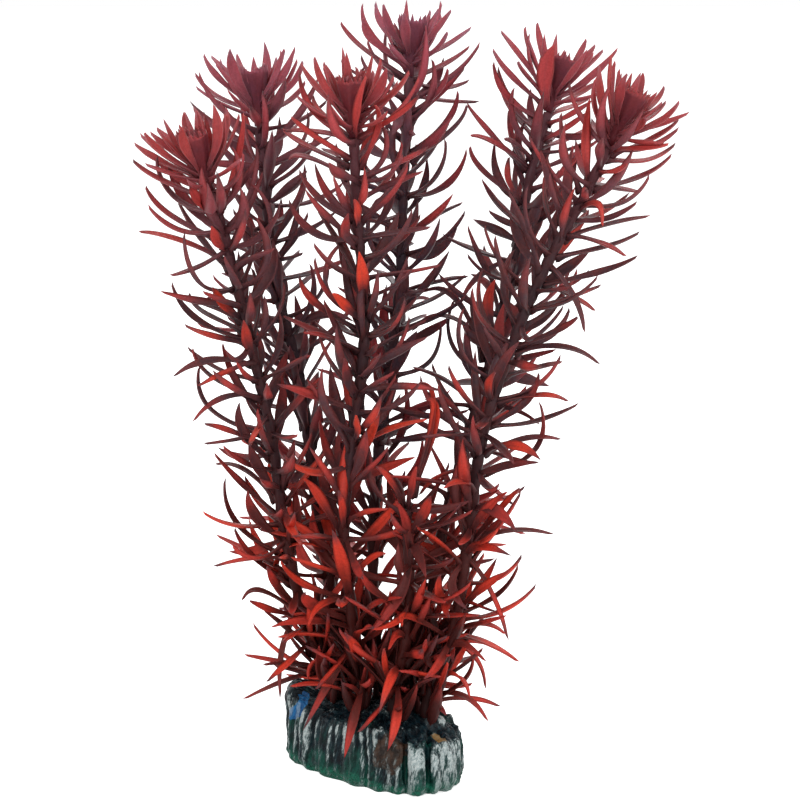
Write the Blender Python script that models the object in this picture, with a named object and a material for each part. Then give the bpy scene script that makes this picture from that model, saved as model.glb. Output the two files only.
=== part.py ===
"""Artificial red stargrass: leafy plastic stems with crown caps in a ridged resin rock.

Metres, +Z up, the rock's foot on z = 0 with its centre at the origin, the plant's front toward -Y.
"""
import math
import random

import bmesh
import bpy
from mathutils import Matrix, Vector
from mathutils.bvhtree import BVHTree

MM = 0.001
GAP = 0.3 * MM
SEED = 41

# Rock foot: an oval with its long axis turned in plan, higher at the left end than at the right
ROCK_LENGTH = 65.5 * MM
ROCK_WIDTH = 35.5 * MM
ROCK_TURN = math.radians(-41)
ROCK_HEIGHT = 21.0 * MM
ROCK_SLOPE = 2.4 * MM
ROCK_RIM_WAVE = 1.2 * MM
ROCK_RIM_WAVES = 5.2
ROCK_SQUARENESS = 0.8
RIDGES = 22
RIDGE_DEPTH = 1.1 * MM
RIDGE_DRIFT = 0.022
LIP_HEIGHT = 2.6 * MM
# Scale in plan and share of the height, from the foot over the lip and the rim to the top
ROCK_LEVELS = ((0.94, 0.0), (1.0, 0.12), (1.0, 0.36), (0.98, 0.7), (0.93, 0.92), (0.83, 1.0), (0.42, 1.06))
ROCK_TOP = 1.05
ROCK_LIP_LEVEL = 1
ROCK_SHARP_ANGLE = math.radians(32)

# Stems: six-sided cores that taper to the crown, with a whorl of leaves on every pitch
STEM_SIDES = 6
STEM_RADIUS_FOOT = 1.6 * MM
STEM_RADIUS_TOP = 1.2 * MM
WHORL_PITCH = 6.2 * MM
SOCKET_FLOOR = 14.0 * MM
SOCKET_RADIUS = 2.5 * MM
SOCKET_SIDES = 10
BARE_HEIGHT = 27.0 * MM

# Leaves: a lance with a keel, widest before the middle
LEAF_SHORTEST = 20.0 * MM
LEAF_LONGEST = 29.0 * MM
LEAF_HALF_WIDTH = 1.6 * MM
LEAF_KEEL = 0.8 * MM
LEAF_MIDDLE = 0.4
LEAF_SEAT = 0.45
LEAF_ROOT_END = 0.12
LEAF_SHARE = 0.52
LEAF_SHARE_OUTWARD = 0.28
STEM_CLEARANCE = 2.7 * MM
FLOOR_CLEARANCE = 3.0 * MM
LEAF_STEPS = 20

# Leaf posture in degrees, at the foot and at the crown: the rise over the stem's square, the bend to the tip
LEAF_RISE = (28, 26)
LEAF_RISE_SPREAD = (24, 8)
LEAF_CURL = (-6, 38)
LEAF_CURL_SPREAD = (38, 14)
LEAF_TURN_SPREAD = 7
LEAF_SWAY_SPREAD = 14
LEAF_TWIST_SPREAD = 16

# Crown caps: a flared cup with a toothed rim in a rosette of leaves
COLLAR_HEIGHT = 1.2 * MM
ROSETTE_PITCH = 2.6 * MM
ROSETTE_WHORLS = 2
CUP_HEIGHT = 13.0 * MM
CUP_RADIUS = 6.0 * MM
CUP_WAIST_RADIUS = 2.6 * MM
CUP_TOOTH = 2.4 * MM
CUP_HOLLOW = 2.0 * MM
CUP_WAIST_SHARE = 0.35
CUP_NOTCH_SHARE = 0.86
CROWN_LEAF_SHORTEST = 18.5 * MM
CROWN_LEAF_LONGEST = 22.0 * MM

# Rosette posture in degrees, for each whorl from the lowest
ROSETTE_RISE = (30, 50)
ROSETTE_RISE_SPREAD = 5
ROSETTE_CURL = (30, 22)
ROSETTE_CURL_SPREAD = 7
ROSETTE_TURN_SPREAD = 5
ROSETTE_SWAY_SPREAD = 8
ROSETTE_TWIST_SPREAD = 10

# Each stem's route in millimetres from its socket up to its crown
ROUTES = {
    "front_left": ((-14, 5, 14), (-14, 5, 27), (-21, 1, 46), (-28, -5, 80), (-32, -12, 116),
                   (-39, -19, 152), (-45, -25, 181), (-49, -28, 195)),
    "back_left": ((-9, 12, 14), (-9, 12, 27), (-13, 14, 50), (-19, 17, 87), (-24, 20, 127),
                  (-32, 23, 160), (-35, 25, 190), (-37, 27, 210)),
    "front_centre": ((-4, -4, 14), (-4, -4, 27), (-7, -8, 58), (-9, -12, 88), (-5, -16, 121),
                     (-2, -20, 153), (-4, -24, 185), (-5, -28, 211)),
    "back_centre": ((2, 8, 14), (2, 8, 27), (0, 11, 56), (1, 15, 95), (5, 18, 126),
                    (9, 21, 160), (10, 24, 188), (12, 28, 226)),
    "back_right": ((12, 0, 14), (12, 0, 27), (18, 3, 50), (22, 6, 75), (29, 9, 102),
                   (38, 13, 133), (46, 17, 165), (51, 20, 193), (57, 23, 215)),
    "front_right": ((18, -10, 14), (18, -10, 27), (26, -11, 50), (31, -13, 82), (35, -15, 115),
                    (44, -17, 145), (54, -19, 170), (66, -20, 193), (73, -21, 208)),
    "short": ((7, -10, 14), (7, -10, 27), (11, -12, 48), (12, -14, 70), (11, -16, 92)),
}


class TakenSpace:
    """The triangles that later leaves have to keep clear of."""

    def __init__(self):
        self.points = []
        self.triangles = []

    def add(self, points, triangles):
        first = len(self.points)
        self.points.extend(points)
        self.triangles.extend(tuple(first + i for i in triangle) for triangle in triangles)

    def tree(self):
        return BVHTree.FromPolygons(self.points, self.triangles)


class Route:
    """A smooth line through a stem's points, read by the distance from its foot."""

    STEPS = 24

    def __init__(self, points):
        knots = [Vector(point) * MM for point in points]
        knots = [2 * knots[0] - knots[1]] + knots + [2 * knots[-1] - knots[-2]]
        self.line = []
        for a, b, c, d in zip(knots, knots[1:], knots[2:], knots[3:]):
            for step in range(self.STEPS):
                t = step / self.STEPS
                self.line.append(0.5 * (2 * b + (c - a) * t + (2 * a - 5 * b + 4 * c - d) * t ** 2
                                        + (3 * b - a - 3 * c + d) * t ** 3))
        self.line.append(knots[-2].copy())
        self.distance = [0.0]
        for start, end in zip(self.line, self.line[1:]):
            self.distance.append(self.distance[-1] + (end - start).length)
        self.length = self.distance[-1]

    def frame(self, distance):
        """The point, the tangent and two square directions at a distance from the foot."""
        index = 0
        while index < len(self.line) - 2 and self.distance[index + 1] < distance:
            index += 1
        start, end = self.line[index], self.line[index + 1]
        span = self.distance[index + 1] - self.distance[index]
        point = start + (end - start) * ((distance - self.distance[index]) / span)
        tangent = (end - start).normalized()
        right = Vector((0, 1, 0)).cross(tangent).normalized()
        return point, tangent, right, tangent.cross(right)

    def stem_radius(self, distance):
        share = min(1.0, distance / self.length)
        return STEM_RADIUS_FOOT + (STEM_RADIUS_TOP - STEM_RADIUS_FOOT) * share


def ring(frame, radius, sides, turn, lift=0.0):
    """Points round a frame, counter-clockwise seen from its tip."""
    point, tangent, right, back = frame
    angles = [turn + 2 * math.pi * i / sides for i in range(sides)]
    return [point + tangent * lift + radius * (math.cos(a) * right + math.sin(a) * back) for a in angles]


def leaf_line(start, up, outward, shape, shares):
    """Points, directions, sides and normals along a leaf that bends as an arc."""
    across = up.cross(outward)
    found = []
    point = start.copy()
    for step in range(LEAF_STEPS + 1):
        share = step / LEAF_STEPS
        if any(abs(share - wanted) < 0.5 / LEAF_STEPS for wanted in shares):
            found.append(leaf_frame(point, up, outward, across, shape, share))
        heading = leaf_frame(point, up, outward, across, shape, share + 0.5 / LEAF_STEPS)[1]
        point = point + heading * shape["length"] / LEAF_STEPS
    return found


def leaf_frame(point, up, outward, across, shape, share):
    """The leaf's point, direction, side and upper normal at a share of its length."""
    rise = shape["rise"] + shape["curl"] * share
    sway = shape["sway"] * share
    level = math.cos(sway) * outward + math.sin(sway) * across
    direction = math.cos(rise) * level + math.sin(rise) * up
    flat_side = up.cross(level)
    normal = direction.cross(flat_side)
    side = math.cos(shape["twist"]) * flat_side + math.sin(shape["twist"]) * normal
    return point, direction, side, direction.cross(side)


def blend(ends, share):
    return ends[0] + (ends[1] - ends[0]) * share


def stem_leaf_shape(draw, height):
    """Random shape of a leaf at a height from 0 at the foot to 1 at the crown."""
    return {
        "turn": math.radians(draw.gauss(0, LEAF_TURN_SPREAD)),
        "length": draw.uniform(LEAF_SHORTEST, LEAF_LONGEST),
        "rise": math.radians(draw.gauss(blend(LEAF_RISE, height), blend(LEAF_RISE_SPREAD, height))),
        "curl": math.radians(draw.gauss(blend(LEAF_CURL, height), blend(LEAF_CURL_SPREAD, height))),
        "sway": math.radians(draw.gauss(0, LEAF_SWAY_SPREAD)),
        "twist": math.radians(draw.gauss(0, LEAF_TWIST_SPREAD)),
        "keep": draw.random(),
    }


def crown_leaf_shape(draw, whorl):
    """Random shape of a leaf in a crown's rosette, steeper in each whorl."""
    return {
        "turn": math.radians(draw.gauss(0, ROSETTE_TURN_SPREAD)),
        "length": draw.uniform(CROWN_LEAF_SHORTEST, CROWN_LEAF_LONGEST),
        "rise": math.radians(draw.gauss(ROSETTE_RISE[whorl], ROSETTE_RISE_SPREAD)),
        "curl": math.radians(draw.gauss(ROSETTE_CURL[whorl], ROSETTE_CURL_SPREAD)),
        "sway": math.radians(draw.gauss(0, ROSETTE_SWAY_SPREAD)),
        "twist": math.radians(draw.gauss(0, ROSETTE_TWIST_SPREAD)),
    }


def leaf_root(quad):
    """The corner triangle a leaf grows from: the side's upper corners and a seat on its middle line."""
    lower_left, lower_right, upper_right, upper_left = quad
    seat = ((lower_left + lower_right) / 2).lerp((upper_left + upper_right) / 2, LEAF_SEAT)
    return [upper_left, upper_right, seat]


def leaf_blade(root, up, outward, shape):
    """Left edge, right edge, keel and tip of a leaf that grows from its root triangle."""
    start = (root[0] + root[1]) / 2
    turned = Matrix.Rotation(shape["turn"], 3, up) @ outward
    middle, tip = leaf_line(start, up, turned, shape, (LEAF_MIDDLE, 1.0))
    point, _, side, normal = middle
    edge = side * LEAF_HALF_WIDTH
    return [point - edge, point + edge, point - normal * LEAF_KEEL, tip[0]]


# Corners 0-2 are the root, upper left first; 3 is the left edge, 4 the right edge, 5 the keel, 6 the tip
LEAF_TRIANGLES = ((0, 3, 1), (3, 4, 1), (2, 5, 0), (5, 3, 0), (5, 2, 1), (5, 1, 4),
                  (3, 6, 4), (5, 6, 3), (6, 5, 4))


def leaf_clearance_body(root, blade):
    """The leaf without the stretch of root that its own neighbours share."""
    return [corner.lerp(end, LEAF_ROOT_END) for corner, end in zip(root, blade)] + blade


def side_quad(lower, upper, side):
    """The four corners of one side between two rings, lower left first."""
    after = (side + 1) % len(lower)
    return lower[side], lower[after], upper[after], upper[side]


def add_leaf(bm, quad, root, blade):
    """Grow a leaf out of one side: three plain faces round its seat, then the leaf itself."""
    lower_left, lower_right, upper_right, upper_left = quad
    seat = bm.verts.new(root[2])
    bm.faces.new((lower_left, lower_right, seat))
    bm.faces.new((lower_right, upper_right, seat))
    bm.faces.new((upper_left, lower_left, seat))
    corners = [upper_left, upper_right, seat] + [bm.verts.new(point) for point in blade]
    for triangle in LEAF_TRIANGLES:
        bm.faces.new([corners[i] for i in triangle])


def add_side(bm, quad):
    bm.faces.new(quad[:3])
    bm.faces.new((quad[0], quad[2], quad[3]))


def finish_object(name, bm, material, smooth_angle=None):
    """Make an object of a closed mesh."""
    mesh = bpy.data.meshes.new(name)
    bm.normal_update()
    bm.to_mesh(mesh)
    bm.free()
    if smooth_angle is not None:
        mesh.shade_smooth()
        mesh.set_sharp_from_angle(angle=smooth_angle)
    mesh.materials.append(material)
    shown = bpy.data.objects.new(name, mesh)
    bpy.context.scene.collection.objects.link(shown)
    return shown


def mesh_triangles(bm):
    bm.verts.ensure_lookup_table()
    bm.verts.index_update()
    points = [vert.co.copy() for vert in bm.verts]
    triangles = []
    for face in bm.faces:
        corners = [vert.index for vert in face.verts]
        triangles.extend((corners[0], b, c) for b, c in zip(corners[1:], corners[2:]))
    return points, triangles


def rock_height(along):
    """Height of the rock's rim; along runs from -1 at its left end to 1 at its right."""
    wave = ROCK_RIM_WAVE * math.sin(ROCK_RIM_WAVES * along)
    return ROCK_HEIGHT - ROCK_SLOPE * along + wave


def oval(value):
    """A cosine or sine made fuller, so that the oval's ends are nearly square."""
    return math.copysign(abs(value) ** ROCK_SQUARENESS, value)


def rock_ring(index, ridges):
    """One ring of the rock, its points on ridges and grooves by turns."""
    plan, share = ROCK_LEVELS[index]
    turn = Matrix.Rotation(ROCK_TURN, 3, "Z")
    points = []
    for i, (depth, drift) in enumerate(ridges):
        angle = 2 * math.pi * i / len(ridges) + drift
        ridge = RIDGE_DEPTH * depth * (1 if i % 2 == 0 else -1)
        x = (ROCK_LENGTH / 2 + ridge) * plan * oval(math.cos(angle))
        y = (ROCK_WIDTH / 2 + ridge) * plan * oval(math.sin(angle))
        z = rock_height(2 * x / ROCK_LENGTH) * share
        if index == ROCK_LIP_LEVEL:
            z = LIP_HEIGHT * (0.8 + 0.4 * depth)
        points.append(turn @ Vector((x, y, z)))
    return points


def make_rock(material, feet):
    """The ridged rock with a socket round each stem's foot."""
    draw = random.Random(SEED)
    ridges = [(draw.uniform(0.35, 1.0), draw.uniform(-RIDGE_DRIFT, RIDGE_DRIFT)) for _ in range(2 * RIDGES)]
    bm = bmesh.new()
    rings = [[bm.verts.new(point) for point in rock_ring(i, ridges)] for i in range(len(ROCK_LEVELS))]
    for lower, upper in zip(rings, rings[1:]):
        for side in range(len(lower)):
            add_side(bm, side_quad(lower, upper, side))
    bm.faces.new(rings[0][::-1])
    top = bm.verts.new(Vector((0, 0, rock_height(0) * ROCK_TOP)))
    for left, right in zip(rings[-1], rings[-1][1:] + rings[-1][:1]):
        bm.faces.new((left, right, top))
    body = mesh_triangles(bm)
    rock = finish_object("rock_base", bm, material, ROCK_SHARP_ANGLE)
    for name, foot in feet.items():
        cut_socket(rock, name, foot)
    return body


def cut_socket(rock, name, foot):
    """Sink a round socket in the rock that holds a stem's foot with a gap all round."""
    depth = ROCK_HEIGHT
    cutter_mesh = bpy.data.meshes.new(name + "_socket")
    bm = bmesh.new()
    bmesh.ops.create_cone(bm, cap_ends=True, segments=SOCKET_SIDES, radius1=SOCKET_RADIUS,
                          radius2=SOCKET_RADIUS, depth=depth)
    bm.to_mesh(cutter_mesh)
    bm.free()
    cutter = bpy.data.objects.new(name + "_socket", cutter_mesh)
    bpy.context.scene.collection.objects.link(cutter)
    cutter.location = (foot.x, foot.y, SOCKET_FLOOR - GAP + depth / 2)
    cutter.hide_render = True
    cutter.display_type = "WIRE"
    cut = rock.modifiers.new(name + "_socket", "BOOLEAN")
    cut.operation = "DIFFERENCE"
    cut.solver = "EXACT"
    cut.object = cutter


def stem_rings(route):
    """The stem's ring points, one ring on every whorl pitch, each turned half a side from the last."""
    bands = max(1, round(route.length / WHORL_PITCH))
    pitch = route.length / bands
    rings = []
    for band in range(bands + 1):
        distance = band * pitch
        turn = band * math.pi / STEM_SIDES
        rings.append(ring(route.frame(distance), route.stem_radius(distance), STEM_SIDES, turn))
    return rings, pitch


def ring_tube(rings):
    """Triangles of the plain core through a stem's rings."""
    points = [point for each in rings for point in each]
    triangles = []
    for band in range(len(rings) - 1):
        base = band * STEM_SIDES
        for side in range(STEM_SIDES):
            after = (side + 1) % STEM_SIDES
            a, b, c, d = base + side, base + after, base + STEM_SIDES + after, base + STEM_SIDES + side
            triangles += [(a, b, c), (a, c, d)]
    return points, triangles


def near_another_stem(blade, root, name, routes):
    """Whether a leaf passes too close to a stem that isn't its own."""
    start = (root[0] + root[1]) / 2
    middle = (blade[0] + blade[1]) / 2
    shares = (0.25, 0.5, 0.75, 1.0)
    samples = [start.lerp(middle, share) for share in shares]
    samples += [middle.lerp(blade[3], share) for share in shares]
    for other, route in routes.items():
        line = route.line[::4] if other != name else []
        if any((sample - point).length < STEM_CLEARANCE for sample in samples for point in line):
            return True
    return False


def make_stem(name, route, routes, taken, material):
    """One stem with every leaf that has room, fused to the side it grows from."""
    draw = random.Random(SEED + 1 + sorted(ROUTES).index(name))
    rings, pitch = stem_rings(route)
    bm = bmesh.new()
    verts = [[bm.verts.new(point) for point in each] for each in rings]
    last = len(rings) - 1
    for band in range(last):
        distance = (band + 0.5) * pitch
        point, up, right, back = route.frame(distance)
        height = distance / route.length
        tree = taken.tree()
        grown = []
        for side in range(STEM_SIDES):
            shape = stem_leaf_shape(draw, height)
            corners = side_quad(verts[band], verts[band + 1], side)
            root = leaf_root(side_quad(rings[band], rings[band + 1], side))
            angle = (side + 0.5) * 2 * math.pi / STEM_SIDES + (band + 0.5) * math.pi / STEM_SIDES
            outward = math.cos(angle) * right + math.sin(angle) * back
            facing = outward.dot(Vector((point.x, point.y, 0)).normalized())
            wanted = shape["keep"] < LEAF_SHARE + LEAF_SHARE_OUTWARD * facing
            blade = leaf_blade(root, up, outward, shape)
            body = leaf_clearance_body(root, blade)
            clear = (point.z > BARE_HEIGHT and min(p.z for p in blade) > FLOOR_CLEARANCE
                     and not near_another_stem(blade, root, name, routes)
                     and not tree.overlap(BVHTree.FromPolygons(body, LEAF_TRIANGLES)))
            if wanted and clear:
                add_leaf(bm, corners, root, blade)
                grown.append(body)
            else:
                add_side(bm, corners)
        for body in grown:
            taken.add(body, LEAF_TRIANGLES)
    bm.faces.new(verts[0][::-1])
    bm.faces.new(verts[-1])
    return finish_object(name + "_stem", bm, material)


def make_crown(name, route, taken, material):
    """A crown cap: a rosette of leaves round a flared cup with a toothed rim."""
    draw = random.Random(SEED + 51 + sorted(ROUTES).index(name))
    frame = route.frame(route.length)
    _, up, right, back = frame
    levels = [GAP, GAP + COLLAR_HEIGHT]
    levels += [levels[-1] + ROSETTE_PITCH * (whorl + 1) for whorl in range(ROSETTE_WHORLS)]
    bm = bmesh.new()
    points = [ring(frame, STEM_RADIUS_TOP, STEM_SIDES, i * math.pi / STEM_SIDES, level)
              for i, level in enumerate(levels)]
    verts = [[bm.verts.new(point) for point in each] for each in points]
    bm.faces.new(verts[0][::-1])
    for side in range(STEM_SIDES):
        add_side(bm, side_quad(verts[0], verts[1], side))
    for whorl in range(ROSETTE_WHORLS):
        band = whorl + 1
        for side in range(STEM_SIDES):
            shape = crown_leaf_shape(draw, whorl)
            angle = (side + 0.5) * 2 * math.pi / STEM_SIDES + (band + 0.5) * math.pi / STEM_SIDES
            outward = math.cos(angle) * right + math.sin(angle) * back
            root = leaf_root(side_quad(points[band], points[band + 1], side))
            blade = leaf_blade(root, up, outward, shape)
            add_leaf(bm, side_quad(verts[band], verts[band + 1], side), root, blade)
    add_cup(bm, verts[-1], frame, levels[-1], len(levels) - 1)
    taken.add(*mesh_triangles(bm))
    return finish_object(name + "_crown", bm, material)


def add_cup(bm, foot, frame, level, turns):
    """The flared cup on a crown's last ring, its rim a zigzag of teeth."""
    turn = turns * math.pi / STEM_SIDES
    waist_points = ring(frame, CUP_WAIST_RADIUS, STEM_SIDES, turn, level + CUP_WAIST_SHARE * CUP_HEIGHT)
    waist = [bm.verts.new(point) for point in waist_points]
    for side in range(STEM_SIDES):
        add_side(bm, side_quad(foot, waist, side))
    rim_level = level + CUP_HEIGHT - CUP_TOOTH
    notches = ring(frame, CUP_RADIUS * CUP_NOTCH_SHARE, STEM_SIDES, turn, rim_level)
    tips = ring(frame, CUP_RADIUS, STEM_SIDES, turn + math.pi / STEM_SIDES, rim_level + CUP_TOOTH)
    notches = [bm.verts.new(point) for point in notches]
    tips = [bm.verts.new(point) for point in tips]
    hollow = bm.verts.new(frame[0] + frame[1] * (rim_level - CUP_HOLLOW))
    for side in range(STEM_SIDES):
        after = (side + 1) % STEM_SIDES
        bm.faces.new((waist[side], tips[side], notches[side]))
        bm.faces.new((waist[side], waist[after], tips[side]))
        bm.faces.new((waist[after], notches[after], tips[side]))
        bm.faces.new((notches[side], tips[side], hollow))
        bm.faces.new((tips[side], notches[after], hollow))


def make_material(name, colour, roughness):
    material = bpy.data.materials.new(name)
    material.use_nodes = True
    shader = material.node_tree.nodes["Principled BSDF"]
    shader.inputs["Base Color"].default_value = (*colour, 1)
    shader.inputs["Roughness"].default_value = roughness
    shader.inputs["Metallic"].default_value = 0.0
    return material


def clear_scene():
    for item in list(bpy.data.objects):
        bpy.data.objects.remove(item, do_unlink=True)


def main():
    clear_scene()
    resin = make_material("painted_resin", (0.07, 0.12, 0.12), 0.55)
    stem_plastic = make_material("dark_red_plastic", (0.16, 0.02, 0.015), 0.4)
    crown_plastic = make_material("crimson_plastic", (0.32, 0.03, 0.03), 0.4)
    routes = {name: Route(points) for name, points in ROUTES.items()}
    taken = TakenSpace()
    taken.add(*make_rock(resin, {name: route.line[0] for name, route in routes.items()}))
    for route in routes.values():
        taken.add(*ring_tube(stem_rings(route)[0]))
    for name, route in routes.items():
        if name != "short":
            make_crown(name, route, taken, crown_plastic)
    for name, route in routes.items():
        make_stem(name, route, routes, taken, stem_plastic)


main()
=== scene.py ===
"""Looks of the artificial red stargrass: fine leaves, crowns and a painted rock on the fixed frame."""
import math
import random

import bpy
import numpy as np
from mathutils import Matrix, Vector, noise

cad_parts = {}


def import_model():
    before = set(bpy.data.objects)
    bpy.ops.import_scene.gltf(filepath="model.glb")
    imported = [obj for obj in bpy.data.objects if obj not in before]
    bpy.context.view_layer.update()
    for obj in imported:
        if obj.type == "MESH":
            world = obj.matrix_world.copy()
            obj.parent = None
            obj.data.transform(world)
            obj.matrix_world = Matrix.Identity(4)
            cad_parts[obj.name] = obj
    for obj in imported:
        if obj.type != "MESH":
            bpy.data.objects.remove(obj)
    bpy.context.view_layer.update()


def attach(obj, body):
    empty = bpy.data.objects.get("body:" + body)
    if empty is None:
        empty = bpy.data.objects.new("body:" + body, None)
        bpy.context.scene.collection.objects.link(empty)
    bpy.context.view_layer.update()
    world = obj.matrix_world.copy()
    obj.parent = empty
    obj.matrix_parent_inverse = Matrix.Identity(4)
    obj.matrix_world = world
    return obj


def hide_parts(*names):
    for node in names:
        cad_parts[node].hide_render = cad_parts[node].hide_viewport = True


MM = 0.001

# The camera; FOCUS is its focal length in picture points
PICTURE = 800
SENSOR = 36
FOCAL = 105.3
FOCUS = FOCAL / SENSOR * PICTURE
CAMERA = Vector((0.009, -0.74, 0.27))
AIM = Vector((0.009, 0.0, 0.1245))
AHEAD = (AIM - CAMERA).normalized()
OVERHEAD = Vector((0, -AHEAD.z, AHEAD.y))
CLIP_START = 0.01
CLIP_END = 50

# Studio: each soft box with its place, its size and its power
FLOOR_RADIUS = 9.0
FLOOR_CORNERS = 96
FLOOR_TONES = ((0.86, 0.86, 0.86), (0.88, 0.88, 0.88))
FLOOR_CLOUDS = (3, 2)
FLOOR_ROUGH = 0.9
FLOOR_GLOSS = 0.1
FLOOR_GLOW = 0.6
WHITE = (1.0, 1.0, 1.0)
SOFTBOXES = (
    ("key", (-0.45, -1.0, 0.85), 0.7, 7.5),
    ("fill", (0.85, -0.75, 0.4), 0.8, 5.0),
    ("rim", (0.2, 0.85, 0.75), 0.8, 6.0),
)
WORLD_LIGHT = 0.88
BACKDROP_LIGHT = 1.0

# The growth rules of the solids, in the same draws, so that every solid leaf has its fine one in place
SEED = 41
STEM_SEED = SEED + 1
CROWN_SEED = SEED + 51
FINE_STEM_SEED = SEED + 301
FINE_CROWN_SEED = SEED + 401
ROCK_LENGTH = 65.5 * MM
ROCK_WIDTH = 35.5 * MM
ROCK_TURN = math.radians(-41)
ROCK_HEIGHT = 21.0 * MM
ROCK_SLOPE = 2.4 * MM
ROCK_RIM_WAVE = 1.2 * MM
ROCK_RIM_WAVES = 5.2
ROCK_SQUARENESS = 0.8
RIDGES = 22
RIDGE_DEPTH = 1.1 * MM
RIDGE_SHALLOWEST = 0.35
RIDGE_DRIFT = 0.022
LIP_HEIGHT = 2.6 * MM
LIP_WAVE = (0.8, 1.2)
# Scale in plan and share of the height, from the foot over the lip and the brow to the top
ROCK_LEVELS = ((0.94, 0.0), (1.0, 0.12), (1.0, 0.36), (0.98, 0.7), (0.93, 0.92), (0.83, 1.0), (0.42, 1.06))
ROCK_LIP_LEVEL = 1
ROCK_BROW_LEVEL = 5
ROCK_TOP = 1.05

STEM_SIDES = 6
STEM_RADII = (1.6 * MM, 1.2 * MM)
WHORL_PITCH = 6.2 * MM
LEAF_STEPS = 20
# Each angle of a leaf with its spread in degrees; a rise and a curl at the foot and at the crown of a stem
LEAF_SHAPE = {"turn": (0, 7), "lengths": (20.0 * MM, 29.0 * MM), "sway": (0, 14), "twist": (0, 16)}
LEAF_RISE = ((28, 24), (26, 8))
LEAF_CURL = ((-6, 38), (38, 14))
LEAF_SHARE = 0.52
LEAF_SHARE_OUTWARD = 0.28

GAP = 0.3 * MM
COLLAR_HEIGHT = 1.2 * MM
ROSETTE_PITCH = 2.6 * MM
ROSETTE_SHAPE = {"turn": (0, 5), "lengths": (18.5 * MM, 22.0 * MM), "sway": (0, 8), "twist": (0, 10)}
ROSETTE_WHORLS = ({"rise": (30, 5), "curl": (30, 7)}, {"rise": (50, 5), "curl": (22, 7)})

# Points of each stem from its foot to its crown, mm
ROUTES = {
    "front_left": ((-14, 5, 14), (-14, 5, 27), (-21, 1, 46), (-28, -5, 80), (-32, -12, 116),
                   (-39, -19, 152), (-45, -25, 181), (-49, -28, 195)),
    "back_left": ((-9, 12, 14), (-9, 12, 27), (-13, 14, 50), (-19, 17, 87), (-24, 20, 127),
                  (-32, 23, 160), (-35, 25, 190), (-37, 27, 210)),
    "front_centre": ((-4, -4, 14), (-4, -4, 27), (-7, -8, 58), (-9, -12, 88), (-5, -16, 121),
                     (-2, -20, 153), (-4, -24, 185), (-5, -28, 211)),
    "back_centre": ((2, 8, 14), (2, 8, 27), (0, 11, 56), (1, 15, 95), (5, 18, 126),
                    (9, 21, 160), (10, 24, 188), (12, 28, 226)),
    "back_right": ((12, 0, 14), (12, 0, 27), (18, 3, 50), (22, 6, 75), (29, 9, 102),
                   (38, 13, 133), (46, 17, 165), (51, 20, 193), (57, 23, 215)),
    "front_right": ((18, -10, 14), (18, -10, 27), (26, -11, 50), (31, -13, 82), (35, -15, 115),
                    (44, -17, 145), (54, -19, 170), (66, -20, 193), (73, -21, 208)),
    "short": ((7, -10, 14), (7, -10, 27), (11, -12, 48), (12, -14, 70), (11, -16, 92)),
}

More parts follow.
